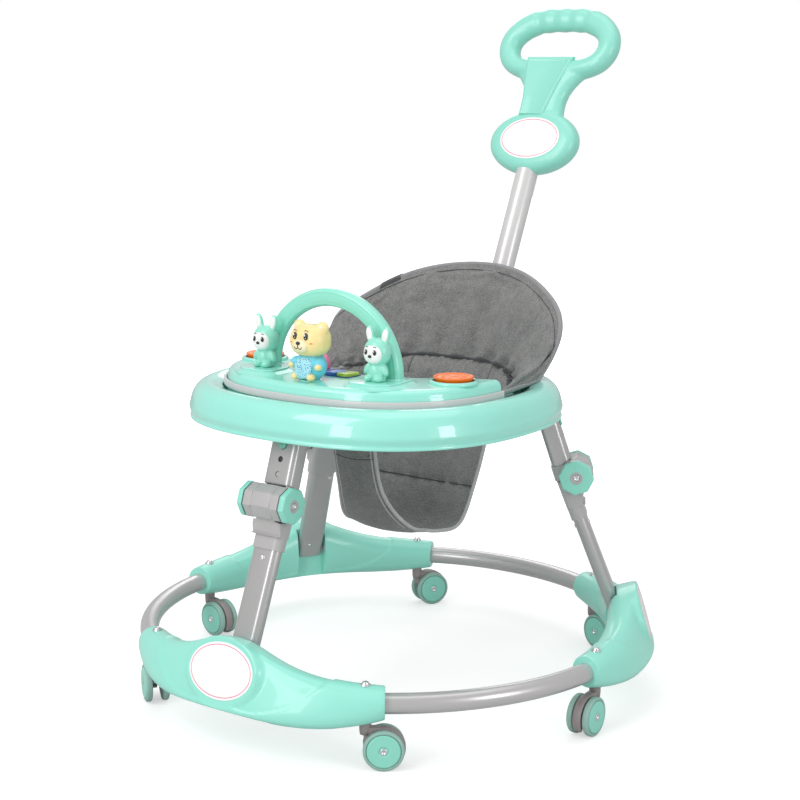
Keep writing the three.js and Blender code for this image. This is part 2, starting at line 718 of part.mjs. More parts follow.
function tongue() {
  const eyeZ = upperAlong(TOP_PIVOT_Z);
  const blade = block(tongueX - TONGUE_D / 2, tongueX + TONGUE_D / 2,
    -TONGUE_W / 2, TONGUE_W / 2, upperAlong(TONGUE_BOTTOM_Z), eyeZ);
  const eye = rodY(TONGUE_EYE_R, -TONGUE_W / 2, TONGUE_W / 2, tongueX, eyeZ, 14);
  const bore = rodY(clear(TOP_PIN_R, 8), -60, 60, tongueX, eyeZ, 8);
  return cut(union(blade, eye), bore);
}

stations.forEach((station, leg) => {
  const name = LEG_NAMES[leg];
  add(station, `pivot_pin_${name}`,
    rodY(PIVOT_PIN_R, -EAR_IN - EAR_T - 2, EAR_IN + EAR_T + 2, 0, 0, 8), STEEL, 0.3, 0.9)
    .position.set(BASE_PIVOT.r, 0, BASE_PIVOT.z);
  const lower = new THREE.Group();
  lower.position.set(BASE_PIVOT.r, 0, BASE_PIVOT.z);
  lower.rotation.y = -rad(LOWER_TILT);
  station.add(lower);
  add(lower, `lower_leg_${name}`, lowerTube(), GREY, 0.35, 0.6);
  add(lower, `lower_knuckle_${name}`, lowerKnuckle(), GREY, 0.45, 0.1);

  const upper = new THREE.Group();
  upper.position.set(upperR(KNEE.z), 0, KNEE.z);
  upper.rotation.y = -rad(UPPER_TILT);
  station.add(upper);
  add(upper, `upper_knuckle_${name}`, upperKnuckle(), GREY, 0.45, 0.1);
  add(upper, `upper_leg_${name}`, upperTube(), GREY, 0.35, 0.6);
  add(upper, `height_button_${name}`, heightButton(), MINT, 0.4);
  add(upper, `tongue_${name}`, tongue(), GREY, 0.5, 0.6);

  const knee = new THREE.Group();
  knee.position.set(kneeUpper.x, 0, kneeUpper.z);
  upper.add(knee);
  add(knee, `knee_bolt_${name}`, kneeBolt(), STEEL, 0.3, 0.9);
  add(knee, `release_${name}_1`, releaseCap(-1), MINT, 0.35);
  add(knee, `release_${name}_2`, releaseCap(1), MINT, 0.35);
});

// ---------------------------------------------------------------- tray
// rim profile as inset from the outer oval against height
function traySkin(filled) {
  const rim = [
    [0, TRAY_BOTTOM], [0, TRAY_BOTTOM + 4], [-1, TRAY_BOTTOM + 12],
    [0, TRAY_RIDGE - 25], [2.5, TRAY_RIDGE - 16], [6.5, TRAY_RIDGE - 8.5],
    [13, TRAY_RIDGE - 2.5], [20, TRAY_RIDGE], [RIM_IN - 1, TRAY_SHELF], [RIM_IN + 1, TRAY_DECK],
  ];
  const under = [
    [RIM_IN - 2, TRAY_DECK - TRAY_WALL], [RIM_IN - 4, TRAY_SHELF - TRAY_WALL - 1],
    [18, TRAY_RIDGE - 4], [4.9, TRAY_RIDGE - 16.5], [2.4, TRAY_RIDGE - 25],
    [TRAY_WALL, TRAY_BOTTOM],
  ];
  const lip = [
    [0, TRAY_DECK], [0, TRAY_DECK - OPENING_LIP], [-2, TRAY_DECK - OPENING_LIP],
    [-2, TRAY_DECK - TRAY_WALL],
  ];
  const sides = 48;
  const rings = [];
  for (let i = 0; i < sides; i += 1) {
    const a = (i / sides) * 2 * Math.PI;
    const outer = ([inset, z]) => [...oval(TRAY_A - inset, TRAY_B - inset, TRAY_N, TRAY_CY, a), z];
    const inner = ([inset, z]) => [
      ...oval(OPENING_A - inset, OPENING_B - inset, TRAY_N, OPENING_CY, a), z,
    ];
    rings.push(filled ? [...rim.map(outer), inner([0, TRAY_DECK]), inner([0, TRAY_BOTTOM])]
      : [...rim.map(outer), ...lip.map(inner), ...under.map(outer)]);
  }
  return loft(rings, true);
}

const pushAxis = new THREE.Vector3(0, Math.sin(rad(PUSH_LEAN)), Math.cos(rad(PUSH_LEAN)));
// places a geometry made along +Z from the point s = 0 onto the axis of the push tube
function onPushAxis(g) {
  return g.rotateX(-rad(PUSH_LEAN)).translate(0, PUSH_O.y, PUSH_O.z);
}
const pushAt = (z) => (z - PUSH_O.z) / Math.cos(rad(PUSH_LEAN));
const SOCKET_BOTTOM = pushAt(TRAY_BOTTOM + 6);
const SOCKET_TOP = pushAt(TRAY_RIDGE + 12);

function tray() {
  let solid = toManifold(traySkin(false));
  const within = toManifold(traySkin(true));
  LEG_AZIMUTHS.forEach((azimuth, leg) => {
    const eyeX = tongueX * upperCos + topPivot.r;
    const eyeZ = TOP_PIVOT_Z + tongueX * Math.sin(rad(UPPER_TILT));
    const half = TONGUE_W / 2 + CHEEK_PLAY[leg];
    [-half - CHEEK_T, half].forEach((y) => {
      const cheek = block(eyeX - 7, eyeX + 7, y, y + CHEEK_T, eyeZ - 7, TRAY_RIDGE);
      solid = solid.add(toManifold(cheek.rotateZ(rad(azimuth))).intersect(within));
    });
    if (leg === 0) {
      const pin = rodY(TOP_PIN_R, -half - CHEEK_T, half + CHEEK_T, eyeX, eyeZ, 8);
      solid = solid.add(toManifold(pin.rotateZ(rad(azimuth))));
    }
  });
  // push-handle socket behind the rim
  const socket = onPushAxis(rodZ(SOCKET_R, SOCKET_R, SOCKET_BOTTOM, SOCKET_TOP, 0, 0, 24));
  const web = block(-SOCKET_R, SOCKET_R, 165, 205, TRAY_BOTTOM + 8, TRAY_RIDGE - 8);
  const bore = onPushAxis(rodZ(clear(PUSH_R, 24), clear(PUSH_R, 24), SOCKET_BOTTOM + SOCKET_FLOOR,
    SOCKET_TOP + 40, 0, 0, 24));
  solid = solid.add(toManifold(socket)).add(toManifold(web)).subtract(toManifold(bore));
  return toGeometry(solid);
}
add(walker, 'tray', tray(), MINT, 0.3);

function toyOutline(inset) {
  const s = new THREE.Shape();
  const a = TRIM_A - TRIM_T - GAP - inset;
  const b = TRIM_B - TRIM_T - GAP - inset;
  const from = Math.asin(Math.min(1, ((TRIM_END_Y - TRAY_CY) / b) ** (TRAY_N / 2)));
  const steps = 24;
  for (let i = 0; i <= steps; i += 1) {
    const t = from - ((2 * from + Math.PI) * i) / steps;
    const [x, y] = oval(a, b, TRAY_N, TRAY_CY, t);
    if (i === 0) s.moveTo(x, y);
    else s.lineTo(x, y);
  }
  const [x0, y0] = oval(a, b, TRAY_N, TRAY_CY, from);
  s.bezierCurveTo(-x0 + 60, y0 - 18 - inset, -90, -92 - inset, 0, -94 - inset);
  s.bezierCurveTo(90, -92 - inset, x0 - 60, y0 - 18 - inset, x0, y0);
  return s;
}

function trimBand() {
  const outer = prism(ovalShape(TRIM_A, TRIM_B, TRAY_N, TRAY_CY), TRAY_SHELF + GAP,
    TRAY_SHELF + TRIM_H);
  const inner = prism(ovalShape(TRIM_A - TRIM_T, TRIM_B - TRIM_T, TRAY_N, TRAY_CY),
    TRAY_SHELF - 5, TRAY_SHELF + TRIM_H + 5);
  return cut(outer, inner, block(-300, 300, TRIM_END_Y, 300, 300, 500));
}
add(walker, 'trim_band', trimBand(), 0xbeb4b6, 0.5);

function toyTray() {
  const top = TOY_TOP;
  let solid = toManifold(prism(toyOutline(0), TRAY_DECK + GAP, top, 5));
  solid = solid.subtract(toManifold(prism(toyOutline(TOY_WALL), TRAY_DECK - 5, top - TOY_WALL, 5)));
  [-1, 1].forEach((side) => {
    const pad = rodZ(26, 25, top - 1, top + PAD_H - GAP, side * RABBIT_X, RABBIT_Y, 16);
    const bezel = rodZ(BEZEL_R, BEZEL_R - 1.5, top - 1, top + BEZEL_H,
      side * TOY_BUTTON_X, TOY_BUTTON_Y, 20);
    const well = rodZ(clear(TOY_BUTTON_R, 20), clear(TOY_BUTTON_R, 20), top - 20, top + 20,
      side * TOY_BUTTON_X, TOY_BUTTON_Y, 20);
    const peg = rodZ(clear(4, 8), clear(4, 8), top - 20, top + 20, side * RABBIT_X, RABBIT_Y, 8);
    const seat = rodZ(ARCH_TUBE_X + 2, ARCH_TUBE_X + 2, top - 1, top + SEAT_H,
      side * ARCH_R, ARCH_Y, 16);
    solid = solid.add(toManifold(pad)).add(toManifold(bezel)).add(toManifold(seat));
    solid = solid.subtract(toManifold(well)).subtract(toManifold(peg));
  });
  solid = solid.add(toManifold(rodZ(15, 15, top - 1, top + SEAT_H, 0, BEAR_Y, 16)));
  const bearPeg = rodZ(clear(4, 8), clear(4, 8), top - 20, top + 20, 0, BEAR_Y, 8);
  const keyWell = block(-KEY_W / 2 - GAP, KEY_W / 2 + GAP, KEY_Y0 - GAP, KEY_Y1 + GAP,
    top - 20, top + 20);
  return toGeometry(solid.subtract(toManifold(bearPeg)).subtract(toManifold(keyWell)));
}

const KEY_W = 62;
const KEY_Y0 = -134;
const KEY_Y1 = -106;
add(walker, 'toy_tray', toyTray(), MINT, 0.35);

function keys() {
  const top = TOY_TOP;
  let g = block(-KEY_W / 2, KEY_W / 2, KEY_Y0, KEY_Y1, top - 2, top + 2);
  g = union(g, block(-KEY_W / 2 - 4, KEY_W / 2 + 4, KEY_Y0 - 4, KEY_Y1 + 4,
    top - TOY_WALL - GAP - 3, top - TOY_WALL - GAP),
  block(-KEY_W / 2, KEY_W / 2, KEY_Y0, KEY_Y1, top - 5, top - 1));
  [-1, 0, 1].forEach((i) => {
    g = union(g, block(i * 20 - 9, i * 20 + 9, KEY_Y0 + 1, KEY_Y1 - 1, top, top + 7));
  });
  return g;
}
add(walker, 'music_keys', keys(), 0x2850b4, 0.4);

function toyButton() {
  const profile = [
    [0, TOY_TOP - TOY_WALL - GAP - 3], [TOY_BUTTON_R + 3, TOY_TOP - TOY_WALL - GAP - 3],
    [TOY_BUTTON_R + 3, TOY_TOP - TOY_WALL - GAP], [TOY_BUTTON_R, TOY_TOP - TOY_WALL - GAP],
    [TOY_BUTTON_R, TOY_TOP + 3], [TOY_BUTTON_R - 2, TOY_TOP + 5.5],
    [TOY_BUTTON_R - 8, TOY_TOP + 7.5], [0, TOY_TOP + 8.5],
  ];
  return outward(revolve(profile, 20));
}
['left', 'right'].forEach((name, i) => {
  add(walker, `toy_button_${name}`, toyButton(), ORANGE, 0.4)
    .position.set((2 * i - 1) * TOY_BUTTON_X, TOY_BUTTON_Y, 0);
});

function arch() {
  const rings = [];
  const steps = 20;
  for (let i = -1; i <= steps + 1; i += 1) {
    const t = (Math.min(Math.max(i, 0), steps) / steps) * Math.PI;
    const drop = i < 0 || i > steps ? -1 : 0;
    const ring = [];
    for (let j = 0; j < 10; j += 1) {
      const b = (j / 10) * 2 * Math.PI;
      const r = ARCH_R + ARCH_TUBE_X * Math.cos(b);
      ring.push([
        r * Math.cos(t), ARCH_Y + ARCH_TUBE_Y * Math.sin(b),
        drop ? TOY_TOP + SEAT_H + GAP : TOY_TOP + SEAT_H + 1 + (r - SEAT_H) * Math.sin(t),
      ]);
    }
    rings.push(ring);
  }
  return loft(rings);
}

function archClear() {
  return [-1, 1].map((side) => rodZ(ARCH_TUBE_X + 1, ARCH_TUBE_X + 1, TOY_TOP + SEAT_H,
    TOY_TOP + 20, side * ARCH_R, ARCH_Y, 16));
}
walker.getObjectByName('toy_tray').geometry = cut(
  walker.getObjectByName('toy_tray').geometry, ...archClear(),
);
add(walker, 'toy_arch', arch(), MINT, 0.35);

// ellipsoid for the small figures
function egg(rx, ry, rz, x, y, z, lean = 0) {
  const sides = rx > 10 ? 9 : 6;
  return new THREE.SphereGeometry(1, sides, sides > 6 ? 6 : 4)
    .rotateX(Math.PI / 2)
    .scale(rx, ry, rz)
    .rotateY(lean)
    .translate(x, y, z);
}

function rabbit() {
  return union(
    rodZ(4, 4, -8, 3, 0, 0, 8),
    rodZ(11, 11, 0, 3, 0, 0, 10),
    egg(12, 10.5, 14, 0, 0, 14),
    egg(14, 11.5, 12, 0, -1, 36),
    egg(4, 3.2, 13, -7, 0, 56, -0.14),
    egg(4, 3.2, 13, 7, 0, 56, 0.14),
    egg(5, 7, 4, -8, -7, 5),
    egg(5, 7, 4, 8, -7, 5),
    egg(3.5, 3.5, 7, -11, -5, 19, 0.4),
    egg(3.5, 3.5, 7, 11, -5, 19, -0.4),
  );
}

function bear() {
  return union(
    rodZ(4, 4, -8, 3, 0, 0, 8),
    rodZ(13, 13, 0, 3, 0, 0, 10),
    egg(17, 14, 19, 0, 0, 20),
    egg(22, 17, 18.5, 0, -1, 52),
    egg(7, 4.5, 7, -17, 0, 67),
    egg(7, 4.5, 7, 17, 0, 67),
    egg(7, 9, 6, -11, -8, 7),
    egg(7, 9, 6, 11, -8, 7),
    egg(5, 5, 10, -17, -4, 25, 0.5),
    egg(5, 5, 10, 17, -4, 25, -0.5),
  );
}
['left', 'right'].forEach((name, i) => {
  add(walker, `rabbit_${name}`, rabbit(), MINT, 0.45)
    .position.set((2 * i - 1) * RABBIT_X, RABBIT_Y, TOY_TOP + PAD_H);
});
add(walker, 'bear', bear(), CREAM, 0.45).position.set(0, BEAR_Y, TOY_TOP + SEAT_H + GAP);

// ---------------------------------------------------------------- push handle
function pushTube() {
  return onPushAxis(rodZ(PUSH_R, PUSH_R, SOCKET_BOTTOM + SOCKET_FLOOR + GAP, 6, 0, 0, 28));
}
add(walker, 'push_tube', pushTube(), WHITE, 0.35, 0.1);

function pushGrip() {
  // outline in the plane of the tube: oval badge, neck and rounded loop
  const s = new THREE.Shape();
  s.moveTo(0, -2);
  s.bezierCurveTo(40, -2, 72.5, 18, 72.5, 49);
  s.bezierCurveTo(72.5, 72, 58, 88, 40, 96);
  s.bezierCurveTo(34, 104, 36, 122, 44, 136);
  s.bezierCurveTo(54, 152, 78, 156, 92, 172);
  s.bezierCurveTo(106, 190, 105, 218, 92, 236);
  s.bezierCurveTo(76, 256, 40, 263, 0, 263);
  s.bezierCurveTo(-40, 263, -76, 256, -92, 236);
  s.bezierCurveTo(-105, 218, -106, 190, -92, 172);
  s.bezierCurveTo(-78, 156, -54, 152, -44, 136);
  s.bezierCurveTo(-36, 122, -34, 104, -40, 96);
  s.bezierCurveTo(-58, 88, -72.5, 72, -72.5, 49);
  s.bezierCurveTo(-72.5, 18, -40, -2, 0, -2);
  const hole = new THREE.Path();
  hole.moveTo(-38, 180);
  hole.lineTo(38, 180);
  hole.bezierCurveTo(60, 182, 70, 192, 66, 206);
  hole.bezierCurveTo(60, 220, 36, 224, 0, 224);
  hole.bezierCurveTo(-36, 224, -60, 220, -66, 206);
  hole.bezierCurveTo(-70, 192, -60, 182, -38, 180);
  s.holes.push(hole);
  const bevel = 5;
  const body = new THREE.ExtrudeGeometry(s, {
    depth: GRIP_T - 2 * bevel, bevelEnabled: true, bevelThickness: bevel, bevelSize: bevel,
    bevelOffset: -bevel, bevelSegments: 1, curveSegments: 5,
  }).translate(0, 0, -GRIP_T / 2 + bevel).rotateX(Math.PI / 2);
  const bore = rodZ(clear(PUSH_R, 24), clear(PUSH_R, 24), -20, 6 + GAP, 0, 0, 24);
  return onPushAxis(cut(body, bore));
}
add(walker, 'push_grip', pushGrip(), MINT, 0.35);

// ---------------------------------------------------------------- seat
const SEAT_T = 6;
// points as height above the tray's deck
const backTop = new THREE.CatmullRomCurve3([
  [-178, 84, 19], [-190, 110, 57], [-188, 120, 82], [-165, 140, 102], [-130, 157, 129],
  [-80, 195, 146], [0, 222, 152], [80, 195, 146], [130, 157, 129], [165, 140, 102],
  [188, 120, 82], [190, 110, 57], [178, 84, 19],
].map(([x, y, z]) => new THREE.Vector3(x, y, TRAY_DECK + z)));
const backBottom = new THREE.CatmullRomCurve3([
  [-148, 27, 4], [-150, 50, 4], [-145, 75, 4], [-130, 105, 6], [-108, 131, 15],
  [-60, 152, 22.5], [0, 158, 22.5], [60, 152, 22.5], [108, 131, 15], [130, 105, 6],
  [145, 75, 4], [150, 50, 4], [148, 27, 4],
].map(([x, y, z]) => new THREE.Vector3(x, y, TRAY_DECK + z)));

function seatBack() {
  const point = (u, v) => {
    const a = backBottom.getPoint(u);
    const b = backTop.getPoint(u);
    return a.lerp(b, v).toArray();
  };
  return sheet(point, SEAT_T, 24, 3);
}
add(walker, 'seat_back', seatBack(), CLOTH, 0.95);

// the sling hangs from the lip of the seat opening, front to back between the legs
const SLING_TOP = TRAY_DECK - 1;
const SLING_FRONT = OPENING_CY - OPENING_B + GAP + SEAT_T / 2;
const SLING_BACK = OPENING_CY + OPENING_B - GAP - SEAT_T / 2;
const SLING_LOW = TRAY_DECK - 195;
const slingPath = new THREE.CatmullRomCurve3([
  [0, SLING_FRONT + 0.2, SLING_TOP], [0, SLING_FRONT + 1, TRAY_DECK - 63], [0, -66, TRAY_DECK - 136], [0, -30, TRAY_DECK - 182],
  [0, 20, SLING_LOW], [0, 58, SLING_LOW + 9], [0, 88, TRAY_DECK - 138], [0, 116, TRAY_DECK - 78], [0, SLING_BACK - 0.2, SLING_TOP],
].map((p) => new THREE.Vector3(...p)));

function sling() {
  const half = (v) => 34 + 20 * Math.min(v / 0.4, 1) + 62 * Math.max(0, (v - 0.55) / 0.45) ** 1.2;
  const point = (u, v) => {
    const p = slingPath.getPoint(v);
    const x = (2 * u - 1) * half(v);
    const hug = v < 0.5 ? 5 * (1 - v / 0.5) : (-38 * (v - 0.5)) / 0.5;
    return [
      x, p.y + hug * (2 * u - 1) ** 2,
      p.z + 8 * (2 * u - 1) ** 2 * Math.sin(Math.PI * v),
    ];
  };
  return sheet(point, SEAT_T, 4, 14);
}
add(walker, 'seat_sling', sling(), CLOTH, 0.95);

// ---------------------------------------------------------------- origin
// the origin lies on the floor under the middle of the overall box
walker.updateMatrixWorld(true);
const box = new THREE.Box3();
walker.traverse((o) => {
  if (o.isMesh) {
    const p = o.geometry.attributes.position;
    const v = new THREE.Vector3();
    for (let i = 0; i < p.count; i += 1) {
      box.expandByPoint(v.fromBufferAttribute(p, i).applyMatrix4(o.matrixWorld));
    }
  }
});
const middle = box.getCenter(new THREE.Vector3());
walker.position.set(-middle.x, -middle.y, -box.min.z);
walker.updateMatrixWorld(true);

export default walker;
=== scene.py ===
import math
import bpy
import bmesh
from mathutils import Vector, Matrix, noise


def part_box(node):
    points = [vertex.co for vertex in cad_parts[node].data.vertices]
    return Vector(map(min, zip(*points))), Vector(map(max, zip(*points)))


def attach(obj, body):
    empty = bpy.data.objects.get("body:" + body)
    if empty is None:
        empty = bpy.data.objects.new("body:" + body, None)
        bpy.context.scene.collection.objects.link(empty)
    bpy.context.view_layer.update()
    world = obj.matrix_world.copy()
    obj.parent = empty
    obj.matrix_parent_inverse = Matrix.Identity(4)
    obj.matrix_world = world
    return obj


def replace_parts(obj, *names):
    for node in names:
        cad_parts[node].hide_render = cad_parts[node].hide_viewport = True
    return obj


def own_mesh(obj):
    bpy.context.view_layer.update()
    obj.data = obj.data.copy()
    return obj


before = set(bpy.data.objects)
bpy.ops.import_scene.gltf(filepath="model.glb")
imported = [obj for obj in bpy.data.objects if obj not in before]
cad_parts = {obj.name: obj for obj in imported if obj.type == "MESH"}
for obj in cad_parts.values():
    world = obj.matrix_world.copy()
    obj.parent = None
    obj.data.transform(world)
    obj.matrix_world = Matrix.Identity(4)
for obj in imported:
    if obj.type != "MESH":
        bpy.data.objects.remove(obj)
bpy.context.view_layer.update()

# ---- shared frame
ring_lo, ring_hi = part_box("base_ring")
CX = (ring_lo[0] + ring_hi[0]) / 2
CY = (ring_lo[1] + ring_hi[1]) / 2
MM = 0.001
RING_R, RING_Z, TUBE_R = 325.0, 80.0, 12.5
LEGS = {"front": 270.0, "right": 30.0, "left": 150.0}
rad = math.radians


def W(x, y, z):
    """Part millimetres, measured from the ring's centre, to scene metres."""
    return Vector((x * MM + CX, y * MM + CY, z * MM))


def station(az, p):
    """Leg frame (out, along, up) to part millimetres."""
    a = rad(az)
    r, t, z = p
    return (r * math.cos(a) - t * math.sin(a), r * math.sin(a) + t * math.cos(a), z)


# ---- mesh helpers
def smooth(a, b, x):
    """Smooth step from 0 at a to 1 at b."""
    t = min(max((x - a) / (b - a), 0.0), 1.0)
    return t * t * (3 - 2 * t)


def power(v, n):
    """Signed term of a superellipse with exponent n."""
    return math.copysign(abs(v) ** (2 / n), v)


def moved(dx, dy, dz=0.0):
    return lambda v: (v[0] + dx, v[1] + dy, v[2] + dz)


def round_faces(o):
    for p in o.data.polygons:
        p.use_smooth = True


def make(name, verts, faces, smooth=True):
    me = bpy.data.meshes.new(name)
    me.from_pydata([W(*v) for v in verts], [], faces)
    bm = bmesh.new()
    bm.from_mesh(me)
    bmesh.ops.remove_doubles(bm, verts=bm.verts, dist=1e-7)
    bmesh.ops.recalc_face_normals(bm, faces=bm.faces)
    bm.to_mesh(me)
    bm.free()
    for p in me.polygons:
        p.use_smooth = smooth
    o = bpy.data.objects.new(name, me)
    bpy.context.scene.collection.objects.link(o)
    return o


def grid_faces(nu, nv, close_u=False, close_v=False):
    faces = []
    for i in range(nu if close_u else nu - 1):
        for j in range(nv if close_v else nv - 1):
            a, b = i * nv + j, ((i + 1) % nu) * nv + j
            c, d = ((i + 1) % nu) * nv + (j + 1) % nv, i * nv + (j + 1) % nv
            faces.append((a, b, c, d))
    return faces


def loft(name, rings, closed=False, caps=True, smooth=True, tf=None):
    n = len(rings[0])
    verts = [p for r in rings for p in r]
    faces = grid_faces(len(rings), n, closed, True)
    if not closed and caps:
        faces.append(tuple(range(n)))
        faces.append(tuple((len(rings) - 1) * n + k for k in range(n)))
    if tf:
        verts = [tf(v) for v in verts]
    return make(name, verts, faces, smooth)


def lathe(name, profile, sides, tf):
    """Profile of (radius, height) turned about Z, placed by tf; ends lie on the axis or close."""
    verts, faces, idx = [], [], []
    for r, z in profile:
        if r < 1e-6:
            idx.append([len(verts)] * sides)
            verts.append((0, 0, z))
        else:
            idx.append(range(len(verts), len(verts) + sides))
            verts += [(x, y, z) for x, y in circle(r, sides)]
    for i in range(len(profile) - 1):
        for k in range(sides):
            m = (k + 1) % sides
            q = [idx[i][k], idx[i][m], idx[i + 1][m], idx[i + 1][k]]
            q = list(dict.fromkeys(q))
            if len(q) > 2:
                faces.append(tuple(q))
    return make(name, [tf(v) for v in verts], faces)


def catmull(points, t):
    """Catmull-Rom value at t between the middle two of four tuples."""
    return tuple(0.5 * (2 * b + (c - a) * t + (2 * a - 5 * b + 4 * c - d) * t * t
                        + (3 * b - a - 3 * c + d) * t ** 3) for a, b, c, d in zip(*points))


def spline_at(points, s):
    last = len(points) - 1
    i = min(int(s), last - 1)
    return catmull([points[min(max(i + k - 1, 0), last)] for k in range(4)], s - i)


def spline(points, steps, closed=False):
    """Catmull-Rom through tuples of any length."""
    n = len(points)
    out = []
    for i in range(n if closed else n - 1):
        if closed:
            p = [points[(i + k - 1) % n] for k in range(4)]
        else:
            p = [points[min(max(i + k - 1, 0), n - 1)] for k in range(4)]
        out += [catmull(p, j / steps) for j in range(steps)]
    return out if closed else out + [tuple(points[-1])]


def sweep(name, path, section):
    """Section of (a, b) offsets carried along a path of part-mm points."""
    pts = [Vector(p) for p in path]
    last = len(pts) - 1
    rings, prev = [], None
    for i, p in enumerate(pts):
        t = (pts[min(i + 1, last)] - pts[max(i - 1, 0)]).normalized()
        if prev is None:
            ref = Vector((0, 0, 1)) if abs(t.z) < 0.9 else Vector((1, 0, 0))
            prev = ref.cross(t)
        a = (prev - t * prev.dot(t)).normalized()
        b = t.cross(a)
        rings.append([tuple(p + a * x + b * y) for x, y in section])
        prev = a
    return loft(name, rings)


def turns(n):
    """Angles of n even steps round a circle."""
    return [2 * math.pi * k / n for k in range(n)]


def circle(r, n=16):
    return [(r * math.cos(a), r * math.sin(a)) for a in turns(n)]


def rounded(w, d, r, n=6):
    out = []
    for cx, cy, a0 in ((w / 2 - r, d / 2 - r, 0), (-w / 2 + r, d / 2 - r, 90),
                       (-w / 2 + r, -d / 2 + r, 180), (w / 2 - r, -d / 2 + r, 270)):
        for k in range(n + 1):
            a = rad(a0 + 90 * k / n)
            out.append((cx + r * math.cos(a), cy + r * math.sin(a)))
    return out


def extrude(section, *heights):
    """Rings of a flat section at some heights."""
    return [[(x, y, z) for x, y in section] for z in heights]


def prism(name, outline, z0, z1, tf=None):
    return loft(name, extrude(outline, z0, z1), tf=tf, smooth=False)


def bevel(o, width, segments=3, angle=35):
    m = o.modifiers.new("edge", "BEVEL")
    m.width = width * MM
    m.segments = segments
    m.limit_method = "ANGLE"
    m.angle_limit = rad(angle)
    return o


def apply_all(o):
    bpy.context.view_layer.update()
    dg = bpy.context.evaluated_depsgraph_get()
    me = bpy.data.meshes.new_from_object(o.evaluated_get(dg))
    o.modifiers.clear()
    o.data = me
    return o


def cut(o, *tools):
    for t in tools:
        m = o.modifiers.new("cut", "BOOLEAN")
        m.operation = "DIFFERENCE"
        m.solver = "EXACT"
        m.object = t
        apply_all(o)
        bpy.data.objects.remove(t)
    return o


def shade(o, angle=35):
    """Smooth faces with sharp edges over an angle."""
    round_faces(o)
    bm = bmesh.new()
    bm.from_mesh(o.data)
    for e in bm.edges:
        if len(e.link_faces) == 2:
            e.smooth = e.calc_face_angle(0) < rad(angle)
    bm.to_mesh(o.data)
    bm.free()
    return o


def skin(o, voxel, rounds):
    """One smooth skin, in voxels of some mm, round parts that overlap."""
    m = o.modifiers.new("skin", "REMESH")
    m.mode = "VOXEL"
    m.voxel_size = voxel * MM
    m.use_smooth_shade = True
    m = o.modifiers.new("soft", "CORRECTIVE_SMOOTH")
    m.iterations = rounds
    m.use_only_smooth = True
    apply_all(o)
    round_faces(o)
    return o


def soften(o):
    m = o.modifiers.new("sub", "SUBSURF")
    m.levels = m.render_levels = 1
    apply_all(o)
    round_faces(o)
    return o


def copy_turned(o, name, az_from, az_to):
    c = o.copy()
    c.data = o.data.copy()
    c.name = name
    bpy.context.scene.collection.objects.link(c)
    pivot = Matrix.Translation(Vector((CX, CY, 0)))
    c.data.transform(pivot @ Matrix.Rotation(rad(az_to - az_from), 4, "Z") @ pivot.inverted())
    return c


# ---- materials
def srgb(*rgb):
    """Linear colour of an sRGB value written 0 to 255."""
    return tuple(v / 12.92 if v <= 0.04045 else ((v + 0.055) / 1.055) ** 2.4
                 for v in (c / 255 for c in rgb)) + (1.0,)


class Mat:
    """A node material with a principled shader."""

    def __init__(self, name, colour, rough, metal=0.0, coat=0.0, spec=0.5):
        self.m = bpy.data.materials.new(name)
        self.m.use_nodes = True
        self.m.diffuse_color = colour
        self.t = self.m.node_tree
        self.n = self.t.nodes
        self.b = self.n["Principled BSDF"]
        for socket, value in (("Base Color", colour), ("Roughness", rough), ("Metallic", metal),
                              ("Coat Weight", coat), ("Coat Roughness", 0.03), ("Specular IOR Level", spec)):
            self.b.inputs[socket].default_value = value

    def node(self, kind, **inputs):
        n = self.n.new(kind)
        for k, v in inputs.items():
            n.inputs[k].default_value = v
        return n

    def link(self, a, b):
        self.t.links.new(a, b)

    def coords(self, scale=(1, 1, 1)):
        n = self.node("ShaderNodeMapping", Scale=scale)
        self.link(self.n.new("ShaderNodeTexCoord").outputs["Object"], n.inputs["Vector"])
        return n.outputs["Vector"]

    def math(self, op, a, b):
        """Math node on two inputs; b may be a number."""
        n = self.n.new("ShaderNodeMath")
        n.operation = op
        self.link(a, n.inputs[0])
        if isinstance(b, (int, float)):
            n.inputs[1].default_value = b
        else:
            self.link(b, n.inputs[1])
        return n.outputs[0]

    def blend(self, *terms):
        """Weighted sum of (socket, weight) terms."""
        parts = [self.math("MULTIPLY", socket, weight) for socket, weight in terms]
        total = parts[0]
        for part in parts[1:]:
            total = self.math("ADD", total, part)
        return total

    def noise(self, scale, detail=3.0, vector=None, rough=0.5):
        n = self.node("ShaderNodeTexNoise", Scale=scale, Detail=detail, Roughness=rough)
        self.link(vector or self.coords(), n.inputs["Vector"])
        return n.outputs["Fac"]

    def tint(self, fac, low, high):
        """Base colour between two values by a factor."""
        mix = self.n.new("ShaderNodeMix")
        mix.data_type = "RGBA"
        self.link(fac, mix.inputs["Factor"])
        mix.inputs["A"].default_value = low
        mix.inputs["B"].default_value = high
        self.link(mix.outputs["Result"], self.b.inputs["Base Color"])

    def gloss(self, fac, span, low):
        """Roughness that varies by span above low."""
        self.link(self.math("ADD", self.blend((fac, span)), low), self.b.inputs["Roughness"])

    def ramp(self, fac, a, b):
        n = self.n.new("ShaderNodeMapRange")
        n.inputs["From Min"].default_value = a
        n.inputs["From Max"].default_value = b
        self.link(fac, n.inputs["Value"])
        return n.outputs["Result"]

    def bump(self, height, strength, distance):
        n = self.node("ShaderNodeBump", Strength=strength, Distance=distance)
        self.link(height, n.inputs["Height"])
        self.link(n.outputs["Normal"], self.b.inputs["Normal"])


def scale_colour(c, k):
    return tuple(min(v * k, 1) for v in c[:3]) + (1,)


